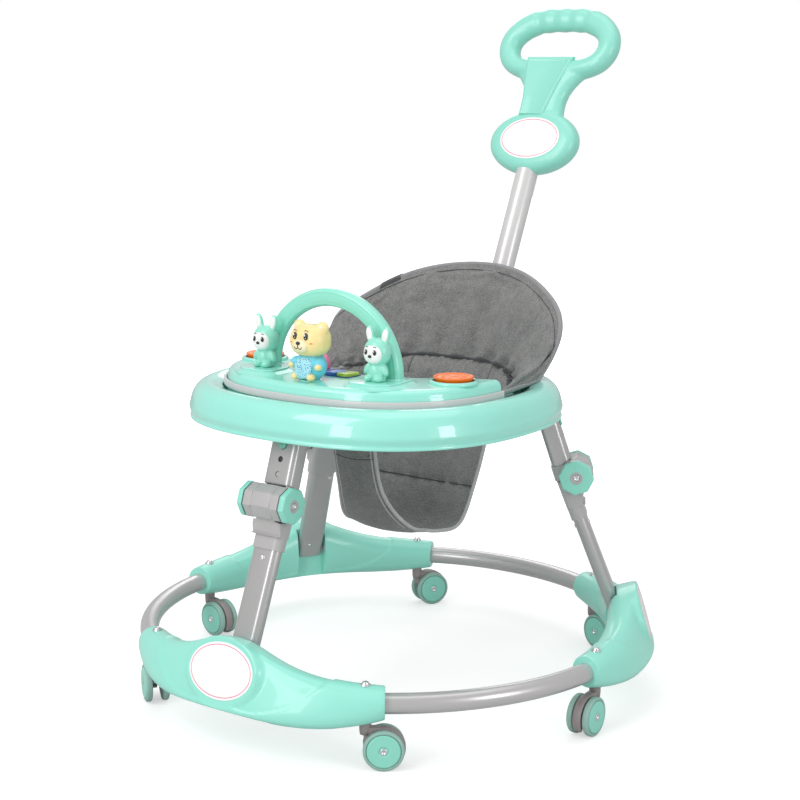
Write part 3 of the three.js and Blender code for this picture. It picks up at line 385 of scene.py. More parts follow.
def plastic(name, colour, rough=0.32, coat=0.25, vary=0.03, grain=0.02):
    """Moulded plastic: faint cloudy colour, fine orange-peel and slight gloss changes."""
    m = Mat(name, colour, rough, coat=coat)
    m.tint(m.noise(14.0, 2.0), scale_colour(colour, 1 - vary), scale_colour(colour, 1 + vary))
    m.gloss(m.noise(60.0), 0.10, rough - 0.05)
    m.bump(m.noise(900.0, 2.0), grain, 0.0004)
    return m.m


def paint(name, colour, rough=0.34, metal=0.35, streak=(1, 1, 1)):
    """Powder-coated or satin painted tube with a fine flake."""
    m = Mat(name, colour, rough, metal=metal, coat=0.1)
    m.tint(m.noise(9.0, 3.0, m.coords(streak)), scale_colour(colour, 0.95), scale_colour(colour, 1.04))
    flake = m.noise(1400.0, 1.0)
    m.gloss(flake, 0.06, rough - 0.03)
    m.bump(flake, 0.008, 0.0002)
    return m.m


def steel(name, colour, rough=0.2):
    m = Mat(name, colour, rough, metal=1.0)
    scratch = m.noise(220.0, 4.0, m.coords((1, 1, 9)))
    m.gloss(scratch, 0.18, rough - 0.06)
    m.bump(scratch, 0.05, 0.0002)
    return m.m


SHEEN = 0.25


def heather(name, dark, light, scale=1.0, bump=0.5):
    """Heather cloth: mottled two-tone yarns in a fine plain weave."""
    m = Mat(name, dark, 0.92, spec=0.2)
    m.b.inputs["Sheen Weight"].default_value = SHEEN
    m.b.inputs["Sheen Roughness"].default_value = 0.5
    v = m.coords()
    slub_a = m.noise(520.0 * scale, 2.0, m.coords((1, 1, 5.5)), 0.6)
    slub_b = m.noise(520.0 * scale, 2.0, m.coords((5.5, 5.5, 1)), 0.6)
    mott = m.noise(70.0 * scale, 4.0, v, 0.65)
    mixed = m.blend((slub_a, 0.55), (slub_b, 0.45), (mott, 0.12))
    m.tint(m.ramp(mixed, 0.44, 0.68), dark, light)
    weave = []
    for axis in "XYZ":
        w = m.node("ShaderNodeTexWave", Scale=160.0 * scale, Distortion=1.2, Detail=1.0)
        w.wave_type = "BANDS"
        w.bands_direction = axis
        m.link(v, w.inputs["Vector"])
        weave.append((w.outputs["Fac"], 0.33))
    h = m.blend(*weave, (mixed, 0.6))
    m.bump(h, bump, 0.0008)
    return m.m


MAT = {
    "shroud": plastic("mint_shroud", srgb(150, 228, 211), 0.34, 0.35),
    "tray": plastic("mint_tray", srgb(152, 231, 215), 0.34, 1.0),
    "toy_tray": plastic("mint_toy_tray", srgb(152, 231, 215), 0.34, 1.0),
    "arch": plastic("mint_arch", srgb(146, 228, 207), 0.32, 0.5),
    "grip": plastic("mint_grip", srgb(146, 222, 205), 0.36, 0.35),
    "wheel": plastic("mint_wheel", srgb(142, 218, 200), 0.38, 0.25),
    "tyre": plastic("tyre_edge", srgb(150, 186, 176), 0.5, 0.05),
    "release": plastic("mint_release", srgb(144, 222, 204), 0.32, 0.4),
    "height": plastic("green_button", srgb(120, 200, 176), 0.35, 0.2),
    "ring": paint("ring_paint", srgb(198, 196, 196), 0.30, 0.55),
    "leg": paint("leg_paint", srgb(190, 188, 188), 0.30, 0.6, (1, 1, 0.15)),
    "knuckle": plastic("grey_knuckle", srgb(180, 178, 178), 0.38, 0.3, 0.02),
    "hood": plastic("fork_grey", srgb(150, 140, 140), 0.42, 0.1),
    # painted shade: a flat dark grey that stands in for the shade inside an open hole
    "dark": plastic("dark_recess", srgb(60, 60, 62), 0.6, 0.0),
    "trim": plastic("trim_grey", srgb(204, 199, 201), 0.42, 0.2),
    "bolt": steel("bolt_chrome", (0.8, 0.8, 0.82, 1), 0.18),
    "pin": steel("pin_steel", (0.62, 0.62, 0.64, 1), 0.3),
    "tongue": steel("tongue_steel", (0.55, 0.55, 0.56, 1), 0.4),
    "rabbit": plastic("rabbit_mint", srgb(148, 226, 205), 0.34, 0.4),
    "white": plastic("figure_white", srgb(246, 246, 244), 0.35, 0.3),
    "black": plastic("figure_black", srgb(28, 26, 28), 0.3, 0.3),
    "bear": plastic("bear_cream", srgb(252, 226, 158), 0.36, 0.3),
    "orange": plastic("button_orange", srgb(246, 112, 12), 0.36, 0.12),
    "key_dark": plastic("key_navy", srgb(38, 58, 140), 0.35, 0.3),
    "key_blue": plastic("key_blue", srgb(50, 120, 210), 0.35, 0.3),
    "key_green": plastic("key_green", srgb(176, 206, 60), 0.35, 0.3),
    "pink": plastic("toy_pink", srgb(238, 120, 160), 0.4, 0.2),
    "tube": paint("push_tube_white", srgb(216, 214, 214), 0.30, 0.2),
    "cloth": heather("seat_heather", srgb(82, 81, 81), srgb(158, 157, 156)),
    "piping": heather("seat_piping", srgb(150, 148, 150), srgb(200, 198, 199), 1.4, 0.3),
}


def put(o, mat, body, slot, *nodes):
    o.data.materials.clear()
    o.data.materials.append(MAT[mat])
    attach(o, body)
    if nodes:
        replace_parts(o, *nodes)
    return o


# ---- finishes on the carried-over solids
for node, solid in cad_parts.items():
    for start, finish in (("knee_bolt", "bolt"), ("pivot_pin", "pin"), ("tongue", "tongue")):
        if node.startswith(start):
            if not solid.material_slots:
                solid.data.materials.append(MAT[finish])
            for material_slot in solid.material_slots:
                material_slot.material = MAT[finish]


# ---- base ring
def pivot_ear(side, az):
    dx, dz = 307.7 - RING_R, 19.0
    length = math.hypot(dx, dz)
    turn = math.atan2(dz, dx)
    outline = [(0, -9), (length, -9)]
    outline += [(length + 9 * math.cos(rad(t)), 9 * math.sin(rad(t))) for t in range(-80, 90, 10)]
    outline += [(length, 9), (0, 9)]
    c, s = math.cos(turn), math.sin(turn)
    rings = [[station(az, (RING_R + x * c - z * s, y, RING_Z + x * s + z * c)) for x, z in outline]
             for y in (side * 21, side * 24)]
    return loft("ear", rings, smooth=False)


def join(name, objects):
    bpy.ops.object.select_all(action="DESELECT")
    for o in objects:
        o.select_set(True)
    bpy.context.view_layer.objects.active = objects[0]
    bpy.ops.object.join()
    objects[0].name = name
    return objects[0]


def base_ring():
    rings = [[((RING_R + x) * math.cos(a), (RING_R + x) * math.sin(a), RING_Z + y)
              for x, y in circle(TUBE_R, 28)] for a in turns(180)]
    parts = [loft("ring_tube", rings, closed=True)]
    for az in LEGS.values():
        for side in (-1, 1):
            parts.append(apply_all(bevel(pivot_ear(side, az), 0.5, 2)))
    return put(join("ring_tube", parts), "ring", "base", "ring_grey", "base_ring")


base_ring()

# ---- shrouds
SHROUD_HALF = 35.3
COLLAR_R = 19.5
LABEL_TILT = rad(17.6)
LABEL_AT = Vector((343.6, 0, RING_Z + 22))
LABEL_N = Vector((math.cos(LABEL_TILT), 0, math.sin(LABEL_TILT)))
LABEL_UP = Vector((-math.sin(LABEL_TILT), 0, math.cos(LABEL_TILT)))
# outline at the leg: angle on the collar, radius, height over the ring, and how each fades along the ring
KEYS = (
    (95, 320, 59, "out", "top"), (55, 333, 54, "out", "top"), (20, 346, 16, "out", "top"),
    (-15, 357.5, -16, "out", "low"), (-50, 352, -29, "out", "low"), (-90, 325, -30, "into", "low"),
    (-135, 301, -20, "into", "low"), (180, 293, 8, "into", "top"), (140, 299, 48, "into", "top"),
)


def shroud_section(off, inset):
    """Closed outline of (radius, height) at some degrees off the leg, drawn in by inset."""
    f = min(abs(off) / SHROUD_HALF, 1)

    def bell(x):
        return 1 / (1 + (x * SHROUD_HALF / 13.5) ** 2.2)
    w = {"top": (bell(f) - bell(1)) / (1 - bell(1)), "out": 1 - f ** 2, "low": 1 - f ** 4, "into": 1 - f ** 1.5}
    keys = []
    rise = 8 * math.exp(-(off / 12) ** 2)
    for deg, r, z, wr, wz in KEYS:
        c = (RING_R + COLLAR_R * math.cos(rad(deg)), RING_Z + 1 + COLLAR_R * math.sin(rad(deg)))
        z += rise if deg in (-50, -90) else 0
        keys.append((c[0] + (r - c[0]) * w[wr], c[1] + (RING_Z + z - c[1]) * w[wz]))
    pts = spline(keys, 10, closed=True)
    n = len(pts)
    out = []
    for i, p in enumerate(pts):
        a, b = pts[i - 1], pts[(i + 1) % n]
        d = math.hypot(b[0] - a[0], b[1] - a[1])
        out.append((p[0] - (a[1] - b[1]) / d * inset, p[1] - (b[0] - a[0]) / d * inset))
    return out


def shroud_skin(inset, detail):
    """Rings of leg-frame points; the outer skin has the medallion, the scoops and the bottom bead."""
    count = 176 if detail else 60
    half = SHROUD_HALF if detail else SHROUD_HALF + 1
    rings = []
    for i in range(count + 1):
        off = -half + 2 * half * i / count
        sec = shroud_section(off, inset)
        n = len(sec)
        ring = []
        for k, (r, z) in enumerate(sec):
            if detail:
                a, b = sec[k - 1], sec[(k + 1) % n]
                d = math.hypot(b[0] - a[0], b[1] - a[1])
                nr, nz = (b[1] - a[1]) / d, (a[0] - b[0]) / d
                if nr * (r - RING_R) + nz * (z - RING_Z) < 0:
                    nr, nz = -nr, -nz
                t = r * math.sin(rad(off))
                arc = math.hypot(abs(t) - 48, z - (RING_Z + 88))
                sleeve = smooth(103.6, 105.6, arc)
                # the scoop beside the medallion lies below the sleeve
                push = -1.0 + 1.9 * sleeve
                # the rolled end of the sleeve and the bead along the bottom
                push -= 0.9 * smooth(34.75, 35.3, abs(off))
                bead = smooth(-25.4, -26.4, z - RING_Z) if r > RING_R else 0
                push += 0.6 * bead * (1 - smooth(30, 34, abs(off)))
                r, z = r + nr * push, z + nz * push
            p = Vector((r * math.cos(rad(off)), r * math.sin(rad(off)), z))
            if detail and p.x > 316:
                q = p - LABEL_AT
                s = q.dot(LABEL_UP)
                e = math.hypot(p.y / 61, s / 45)
                h = q.dot(LABEL_N)
                w = 1 - smooth(0.90, 1.0, e)
                level = 0.5 - 0.5 * smooth(0.84, 0.80, e)
                if h > -26:
                    p += LABEL_N * (level + 0.4 - h) * w
            ring.append(tuple(p))
        rings.append(ring)
    return rings


def shroud_front():
    outer = loft("shroud", shroud_skin(0, True), tf=lambda v: station(270, v))
    inner = loft("hollow", shroud_skin(3.0, False), tf=lambda v: station(270, v))
    slot = prism("slot", ((250, -22), (306, -22), (306, 22), (250, 22)), 30, 175, lambda v: station(270, v))
    necks = []
    for off in (-31.2, 31.2):
        a = rad(off)
        c = (RING_R * math.cos(a), RING_R * math.sin(a))
        rings = [[station(270, (c[0] + x, c[1] + y, z)) for x, y in circle(9.8, 24)] for z in (35, 66)]
        necks.append(loft("neck", rings))
    cut(outer, inner, slot, *necks)
    shade(outer, 40)
    bevel(outer, 0.7, 2, 50)
    return outer


def label(name, at, n, up, side, a, b, tf):
    """Plain white oval with a thin pink ring; at, n, up and side in one frame, placed by tf."""
    def oval_row(half_a, half_b, z):
        return [tf(tuple(at + side * (half_a * math.cos(t)) + up * (half_b * math.sin(t)) + n * z))
                for t in turns(96)]

    plate_rows = [oval_row(a * k, b * k, z)
                  for k, z in ((0.0, 0.35), (0.5, 0.35), (0.985, 0.35), (1.0, 0.2), (1.0, -0.3))]
    line_rows = [oval_row(a - 3.2 + k * 0.5, b - 3.2 + k * 0.5, z)
                 for k, z in ((-0.9, 0.36), (-0.45, 0.44), (0.45, 0.44), (0.9, 0.36))]
    return loft(name, plate_rows, caps=False), loft(name + "_ring", line_rows, caps=False)


MAT["label"] = plastic("label_white", srgb(250, 250, 250), 0.25, 0.4, 0.005, 0.005)
MAT["label_ring"] = plastic("label_ring_pink", srgb(232, 84, 130), 0.3, 0.3)

first_shroud = shroud_front()
for leg, az in LEGS.items():
    piece = first_shroud if leg == "front" else copy_turned(first_shroud, "shroud", 270, az)
    piece.name = "shroud_shell_" + leg
    put(piece, "shroud", "base", "shroud_mint", "shroud_" + leg)
    plate, line = label("label_" + leg, LABEL_AT + LABEL_N * 0.5, LABEL_N, LABEL_UP, Vector((0, 1, 0)),
                        50, 34.5, tf=lambda v, az=az: station(az, v))
    put(plate, "label", "base", "shroud_mint")
    put(line, "label_ring", "base", "shroud_mint")

# ---- casters
HEADINGS = {"front": (144, 36), "right": (271, 343), "left": (60, 350)}
TRAIL, WHEEL_R = 22.0, 25.0
# profiles of (radius, distance from the middle of the axle)
TYRE = [(8, 7.2), (21.8, 7.2), (24, 7.5), (24.8, 8.4), (25, 10), (25, 12.6), (24.7, 14), (23.6, 14.9),
        (21.9, 15.3), (21.5, 15.2), (21.2, 14.2), (20.4, 13.8), (8, 13.8)]
DISC = [(0, 13.0), (20.2, 13.0), (20.3, 14.9), (19.9, 15.7), (18.9, 16.1), (18.2, 16.0), (17.4, 16.0),
        (8, 16.3), (5.9, 16.4), (5.6, 15.7), (4.9, 15.6), (0, 15.6)]
SCREW = [(0, 15.0), (4.4, 15.0), (4.4, 16.1), (3.9, 16.5), (2.2, 16.6), (2.0, 15.8), (0, 15.8)]


def caster(leg, i):
    tag = f"{leg}_{i + 1}"
    a = rad(LEGS[leg] + (-31.2, 31.2)[i])
    heading = rad(HEADINGS[leg][i])
    hub = Vector((RING_R * math.cos(a), RING_R * math.sin(a), 0))
    turn = Matrix.Rotation(heading, 3, "Z")

    def at(v):
        return tuple(hub + turn @ Vector(v))

    # hood: a rounded cover over the top of both wheels, thin fin between them
    rows = []
    for k in range(33):
        deg = -38 + 200 * k / 32
        half = 5.6 + 0.4 * smooth(-38, -8, deg)
        prof = [(9, 4.0), (20.5, 4.6), (24.7, half - 0.3), (25.85, half - 1.2), (26.2, half - 2.6)]
        prof += [(r, -w) for r, w in reversed(prof)]
        rows.append([(TRAIL + r * math.cos(rad(deg)), w, WHEEL_R + r * math.sin(rad(deg))) for r, w in prof])
    fork = [loft("hood", rows, tf=at)]
    neck = [(0, 69), (5, 69), (8.4, 67.3), (8.6, 63), (7.6, 58), (7.2, 54), (7.2, 48), (6.6, 42), (0, 42)]
    fork.append(lathe("neck", neck, 24, at))
    arm = rounded(22, 11.2, 5, 5)
    fork.append(loft("arm", [[(x + 9, y * k_, z) for x, y in arm] for z, k_ in
                             ((33, 0.9), (40, 1), (48.5, 1), (50.5, 0.93), (51.2, 0.8))], tf=at))
    put(join("caster_hood_" + tag, fork), "hood", "caster_" + tag, "fork_grey", "caster_fork_" + tag)
    nut = [(0, 97), (4, 97), (4, 101.9), (6.3, 101.9), (6.3, 103.2), (4.6, 103.4), (4.5, 105.2), (3.6, 106.4),
           (1.6, 107), (0, 107.1)]
    put(lathe("caster_nut_" + tag, nut, 24, at), "bolt", "caster_" + tag, "fork_grey")

    for side, s in ((-1, "a"), (1, "b")):
        def on_axle(v, side=side):
            return at((TRAIL + v[0], side * v[2], WHEEL_R + v[1]))
        replaced = ["caster_wheels_" + tag] if side < 0 else []
        put(lathe(f"wheel_tyre_{tag}_{s}", TYRE, 48, on_axle), "tyre", "wheels_" + tag, "wheel_mint", *replaced)
        put(lathe(f"wheel_disc_{tag}_{s}", DISC, 48, on_axle), "wheel", "wheels_" + tag, "wheel_mint")
        put(lathe(f"wheel_screw_{tag}_{s}", SCREW, 20, on_axle), "bolt", "wheels_" + tag, "wheel_mint")
    axle = lathe(f"axle_{tag}", [(0, -15), (2.5, -15), (2.5, 15), (0, 15)], 16,
                 lambda v: at((TRAIL + v[0], v[2], WHEEL_R + v[1])))
    put(axle, "pin", "wheels_" + tag, "wheel_mint")


for leg in LEGS:
    for i in (0, 1):
        caster(leg, i)


# ---- legs
PIVOT = (307.7, 99.0)
KNEE = (248.4, 291.8)
LOWER_TILT, UPPER_TILT = rad(21.8), rad(18.57)
UPPER_X0 = KNEE[0] - 14.993


def on_lower(az):
    c, s = math.cos(LOWER_TILT), math.sin(LOWER_TILT)
    return lambda v: station(az, (PIVOT[0] + v[0] * c - v[2] * s, v[1], PIVOT[1] + v[0] * s + v[2] * c))


def on_upper(az):
    c, s = math.cos(UPPER_TILT), math.sin(UPPER_TILT)
    return lambda v: station(az, (UPPER_X0 + v[0] * c - v[2] * s, v[1], KNEE[1] + v[0] * s + v[2] * c))


def low_s(z):
    """Place along the lower tube at a height; up_s and face_s do the same for the upper one and its front."""
    return (z - PIVOT[1]) / math.cos(LOWER_TILT)


def up_s(z):
    return (z - KNEE[1]) / math.cos(UPPER_TILT)


def face_s(z):
    return up_s(z) - 13 * math.tan(UPPER_TILT)


def from_node(node, name, width, segments=3):
    """A rounded copy of a carried-over solid, to stand for it."""
    o = bpy.data.objects.new(name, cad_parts[node].data.copy())
    o.data.materials.clear()
    bpy.context.scene.collection.objects.link(o)
    bm = bmesh.new()
    bm.from_mesh(o.data)
    bmesh.ops.remove_doubles(bm, verts=bm.verts, dist=2e-6)
    bmesh.ops.dissolve_limit(bm, angle_limit=rad(1.5), verts=bm.verts, edges=bm.edges)
    bm.to_mesh(o.data)
    bm.free()
    return shade(apply_all(bevel(o, width, segments, 25)), 50)


def dome(name, radius, height, tf, seat=0.6):
    """Rivet head on +X of its frame."""
    prof = [(0, -seat), (radius, -seat), (radius, 0.1), (radius * 0.94, height * 0.42),
            (radius * 0.72, height * 0.78), (radius * 0.4, height * 0.95), (0, height)]
    return lathe(name, prof, 24, tf)


def facing(tf, x, y, z, sign=1):
    """Frame whose Z axis is the leg's X axis at a point."""
    return lambda v: tf((x + sign * v[2], y + v[0], z + v[1]))


def leg(n):
    az = LEGS[n]
    lo, up = on_lower(az), on_upper(az)
    low, upp = "lower_" + n, "upper_" + n
    # lower tube with rolled ends
    sec = rounded(18, 40, 8.95, 8)
    inner = rounded(15, 37, 7.4, 8)
    top = low_s(252)
    rolled = [(x * 0.985, y * 0.985) for x, y in sec]
    rings = extrude(inner, -8) + extrude(rolled, -8) + extrude(sec, -7.4, top) + extrude(inner, top, -5)
    tube = loft("lower_tube_" + n, rings, closed=True, tf=lo)
    put(shade(tube, 40), "leg", low, "leg_grey", "lower_leg_" + n)
    put(from_node("lower_knuckle_" + n, "lower_knuckle_shell_" + n, 1.1), "knuckle", low, "knuckle_grey",
        "lower_knuckle_" + n)
    for tag, r, x, y, z, s in (("a", 3.7, 9, 0, low_s(233) - 11, 1), ("b", 2.6, -9, -11, low_s(233) - 9, -1),
                               ("c", 2.6, -9, 4, 14, -1)):
        put(dome(f"leg_rivet_{n}_{tag}", r, 1.5, facing(lo, x, y, z, s)), "bolt", low, "leg_grey")
    # upper tube, drilled
    sec = rounded(26, 44, 8, 8)
    inner = rounded(22.4, 40.4, 6.2, 8)
    z0, z1 = up_s(306) + 0.3, up_s(369)
    tube = loft("upper_tube_" + n, extrude(sec, z0, z1), tf=up)
    cut(tube, loft("bore", extrude(inner, z0 - 5, z1 + 5), tf=up))
    drills = [lathe("drill", [(0, -6), (r, -6), (r, 6), (0, 6)], 24, facing(up, 13, 0, face_s(z)))
              for z, r in ((343, 3.7), (325, 3.7), (360, 5.9))]
    kx = KNEE[0] - UPPER_X0
    kl = (kx * math.cos(UPPER_TILT), -kx * math.sin(UPPER_TILT))
    barrel = loft("barrel", [[(kl[0] + x, y, kl[1] + z) for x, z in circle(24.2, 32)] for y in (-60, 60)], tf=up)
    cut(tube, *drills, barrel)
    bevel(tube, 0.5, 2, 40)
    put(shade(tube, 40), "leg", upp, "leg_grey", "upper_leg_" + n)
    # the plug in the first hole is painted shade, a dark disc for the shade inside the open hole; the second is the
    # grey part seen through its hole
    for i, (z, finish) in enumerate(((343, "dark"), (325, "knuckle"))):
        plug = lathe(f"hole_plug_{n}_{i}", [(0, -1.0), (2.2, -1.1), (3.6, -1.3), (3.65, -3), (0, -3)], 20,
                     facing(up, 13, 0, face_s(z)))
        put(plug, finish, upp, "leg_grey")
    put(from_node("upper_knuckle_" + n, "upper_knuckle_shell_" + n, 0.9), "knuckle", upp, "knuckle_grey",
        "upper_knuckle_" + n)
    button = lathe("height_button_dome_" + n, [(0, -1.8), (5.4, -1.8), (5.4, 1.2), (5.1, 2.1), (4.2, 2.7),
                                               (2.4, 3.0), (0, 3.05)], 24, facing(up, 13, 0, face_s(360)))
    put(button, "height", "height_button_" + n, "height_green", "height_button_" + n)
    # caps on the knee
    for i, side in ((1, -1), (2, 1)):
        body = f"release_{n}_{i}"
        put(from_node(body, f"release_cap_{n}_{i}", 1.3, 4), "release", body, "release_mint", body)

        def on_cap(v, side=side):
            return up((kl[0] + v[0], side * (37 + v[2]), kl[1] + v[1]))
        well = lathe(f"cap_well_{n}_{i}", [(4.1, -1.2), (4.1, 0.15), (6.4, 0.15), (7.2, 0.5), (7.8, 0.5),
                                           (8.3, 0.1), (8.4, -0.6)], 32, on_cap)
        put(well, "knuckle", body, "release_mint")
        bar = prism(f"cap_mark_{n}_{i}", [(x - 12.2, y) for x, y in rounded(5.6, 3.4, 1.6, 5)], -0.4, 0.9,
                    on_cap)
        put(shade(bevel(bar, 0.4, 2), 40), "release", body, "release_mint")
        screw = lathe(f"cap_screw_{n}_{i}", [(0, -2), (3.9, -2), (3.9, 0.2), (3.5, 0.7), (1.9, 0.8), (1.7, 0.1),
                                             (0, 0.1)], 20, on_cap)
        put(screw, "bolt", upp, "bolt_steel")


for n in LEGS:
    leg(n)


# ---- tray
TRAY = dict(a=233.4, b=223.9, cy=-32.4, n=2.45)
OPEN = dict(a=150.0, b=118.0, cy=28.0, n=2.45)


def oval(o, inset, t):
    return ((o["a"] - inset) * power(math.cos(t), o["n"]),
            o["cy"] + (o["b"] - inset) * power(math.sin(t), o["n"]))


def oval_angles(count):
    """Parameters that space points evenly along a superellipse."""
    fine = 4000
    pts = [oval(TRAY, 0, 2 * math.pi * i / fine) for i in range(fine + 1)]
    run = [0.0]
    for a, b in zip(pts, pts[1:]):
        run.append(run[-1] + math.hypot(b[0] - a[0], b[1] - a[1]))
    out, j = [], 0
    for i in range(count):
        want = run[-1] * i / count
        while run[j + 1] < want:
            j += 1
        out.append(2 * math.pi * (j + (want - run[j]) / (run[j + 1] - run[j])) / fine)
    return out


# sections of (inset, height): the rolled rim and deck, the lip of the opening, and the underside
RIM = ([(2.2, 370.6), (0.9, 370.5), (0.1, 370.9), (-0.2, 371.8), (-0.1, 373.6), (0.5, 374.6), (1.3, 375.0),
        (1.5, 375.8), (1.0, 377.4)]
       + spline([(0.2, 379.5), (-1.2, 384.5), (0.2, 391.5), (2.6, 400), (6.6, 408), (13, 414), (20, 416.5),
                 (27, 416.0), (33.5, 413.4), (37.5, 411.6)], 4)
       + [(39.4, 411.0), (40.4, 409.6), (40.9, 406.5), (41.1, 401.4), (41.7, 399.2), (43.2, 398.1), (45.2, 398.0)])
LIP = [(1.4, 398.0), (0.4, 397.7), (0.0, 396.9), (0.0, 392.3), (-0.4, 391.9), (-1.7, 391.9), (-2.0, 392.3),
       (-2.0, 395.8)]
UNDER = [(44, 395.8), (38, 396.2), (36.2, 407.8), (18, 412.4), (8, 403), (4.9, 400), (2.4, 391.5), (1.2, 384),
         (2.4, 376)]
LEAN = rad(24.6)
PUSH_AT = (333.2, 671.9)


def on_push(v):
    """Frame of the push handle: across, towards the rear, along the tube."""
    return (v[0], PUSH_AT[0] + v[1] * math.cos(LEAN) + v[2] * math.sin(LEAN),
            PUSH_AT[1] - v[1] * math.sin(LEAN) + v[2] * math.cos(LEAN))


def push_s(z):
    """Place along the push tube's axis at a height."""
    return (z - PUSH_AT[1]) / math.cos(LEAN)


def tray():
    rings = [[oval(o, i, t) + (z,) for o, section in ((TRAY, RIM), (OPEN, LIP), (TRAY, UNDER)) for i, z in section]
             for t in oval_angles(220)]
    shell = loft("tray_shell", rings, closed=True)
    put(shade(shell, 50), "tray", "tray", "tray_mint", "tray")
    # socket of the push tube, webs and tongue cheeks
    s0, s1 = push_s(376.5), push_s(428.5)
    socket = lathe("push_socket", [(0, s0), (19.6, s0), (20.5, s0 + 1), (20.5, s1 - 1.6), (20.0, s1 - 0.5),
                                   (19, s1), (17.4, s1), (16.6, s1 - 0.6), (16.5, s0 + 5), (0, s0 + 5)], 56, on_push)
    put(shade(socket, 50), "tray", "tray", "tray_mint")
    outline = [(172, 382), (202, 382), (206, 400), (203, 404), (172, 404)]
    webs = [loft("web", [[(x + d, y, z) for y, z in outline] for d in (-1.6, 1.6)], smooth=False)
            for x in (-17.5, 0, 17.5)]
    put(bevel(join("socket_webs", webs), 0.6, 2), "tray", "tray", "tray_mint")
    cheeks = []
    eye_r = UPPER_X0 - (380 - KNEE[1]) * math.tan(UPPER_TILT) + 3 * math.cos(UPPER_TILT)
    eye_z = 380 + 3 * math.sin(UPPER_TILT)
    outline = [(eye_r - 7, eye_z - 4), (eye_r - 4, eye_z - 7), (eye_r + 4, eye_z - 7), (eye_r + 7, eye_z - 4),
               (eye_r + 7, 400), (eye_r - 7, 408)]
    for az, half in zip(LEGS.values(), (18.6, 22.5, 22.5)):
        for side in (-1, 1):
            cheeks.append(loft("cheek", [[station(az, (r, side * (half + d), z)) for r, z in outline]
                                         for d in (0, 3)], smooth=False))
        if az == LEGS["front"]:
            cheeks.append(loft("pin", [[station(az, (eye_r + x, y, eye_z + z)) for x, z in circle(4, 16)]
                                       for y in (-half - 3, half + 3)]))
    put(join("tray_cheeks", cheeks), "tray", "tray", "tray_mint")


def trim():
    prof = [(0.2, 411.9), (0, 412.4), (0, 420.1), (0.35, 420.7), (1.0, 420.9), (2.4, 420.9), (3.05, 420.7),
            (3.4, 420.1), (3.4, 412.4), (3.2, 411.9)]
    o = dict(a=194.4, b=179.5, cy=-32.4, n=2.45)
    start, steps = math.asin((7.4 / o["b"]) ** (o["n"] / 2)), 150
    rows = [[oval(o, x, start - (2 * start + math.pi) * i / steps) + (z,) for x, z in prof]
            for i in range(steps + 1)]
    band = loft("trim_strip", rows)
    put(shade(bevel(band, 0.5, 2, 60), 45), "trim", "tray", "trim_grey", "trim_band")


tray()
trim()


# ---- toy tray, arch and figures
TOY_TOP = 434.0
BUTTON_X, BUTTON_Y = 153, -78
ARCH_R, ARCH_Y = 98, -127
BEAR_Y = -170


def bez(p, q, r, s, n):
    """First n of n + 1 points of a cubic Bezier curve."""
    return [tuple((1 - t) ** 3 * a + 3 * t * (1 - t) ** 2 * b + 3 * t * t * (1 - t) * c + t ** 3 * d
                  for a, b, c, d in zip(p, q, r, s)) for t in (k / n for k in range(n))]


def toy_outline(inset):
    """Oval of the toy tray, with the hollow rear edge towards the seat."""
    o = dict(a=190.7 - inset, b=175.8 - inset, cy=-32.4, n=2.45)
    start = math.asin(((7.4 - inset * 0.2) / o["b"]) ** (o["n"] / 2)) if inset < 30 else 0
    pts = [oval(o, 0, start - (2 * start + math.pi) * i / 119) for i in range(120)]
    x0, y0 = pts[0]
    pts += bez((-x0, y0), (-x0 + 60, y0 - 18 - inset), (-90, -92 - inset), (0, -94 - inset), 30)[1:]
    pts += bez((0, -94 - inset), (90, -92 - inset), (x0 - 60, y0 - 18 - inset), (x0, y0), 30)
    return pts


def plate(name, outline, z0, z1, r, steps=4, foot=0.0):
    """Flat plate with a rounded top edge, on a sloping foot."""
    n = len(outline)
    cx, cy = sum(p[0] for p in outline) / n, sum(p[1] for p in outline) / n

    def inner(d):
        out = []
        for i, (x, y) in enumerate(outline):
            ax, ay = outline[i - 1]
            bx, by = outline[(i + 1) % n]
            tx, ty = bx - ax, by - ay
            l = math.hypot(tx, ty) or 1
            nx, ny = ty / l, -tx / l
            if nx * (x - cx) + ny * (y - cy) < 0:
                nx, ny = -nx, -ny
            out.append((x - nx * d, y - ny * d))
        return out
    rings = [[(x, y, z0) for x, y in inner(-foot)]]
    if foot:
        rings.append([(x, y, z0 + 2.2) for x, y in inner(-foot)])
        rings.append([(x, y, z1 - 2.6) for x, y in inner(-0.6)])
        rings.append([(x, y, z1 - 2.4) for x, y in inner(0)])
    for k in range(steps + 1):
        a = rad(90 * k / steps)
        rings.append([(x, y, z1 - r + r * math.sin(a)) for x, y in inner(r * (1 - math.cos(a)))])
    return loft(name, rings)


def ball(size, at, lean=0.0, nod=0.0, segments=32, square=2.0):
    """Ellipsoid, or a rounded block where square is over 2."""
    rx, ry, rz = size
    verts, n, m = [], segments, segments // 2
    turn = Matrix.Rotation(lean, 3, "Y") @ Matrix.Rotation(nod, 3, "X")

    def p(v):
        return power(v, square)
    for i in range(m + 1):
        th = math.pi * i / m
        for j in range(n):
            ph = 2 * math.pi * j / n
            v = turn @ Vector((rx * p(math.sin(th)) * p(math.cos(ph)), ry * p(math.sin(th)) * p(math.sin(ph)),
                               rz * p(math.cos(th))))
            verts.append(tuple(v + Vector(at)))
    return verts, grid_faces(m + 1, n, False, True)


def balls(name, items, tf, voxel=None):
    verts, faces = [], []
    for item in items:
        v, f = ball(*item[:2], **(item[2] if len(item) > 2 else {}))
        faces += [tuple(i + len(verts) for i in q) for q in f]
        verts += v
    o = make(name, [tf(v) for v in verts], faces)
    return skin(o, voxel, 6) if voxel else o


def pair(size, at, lean=0.0, **shape):
    """A ball on each side of the middle; at and lean are those of the one at +X."""
    return [(size, (s * at[0], at[1], at[2]), dict(shape, lean=s * lean)) for s in (-1, 1)]


def thread(name, points, r, at):
    """Fine raised line through points placed by at."""
    return sweep(name, spline([at(p) for p in points], 5), circle(r, 8))


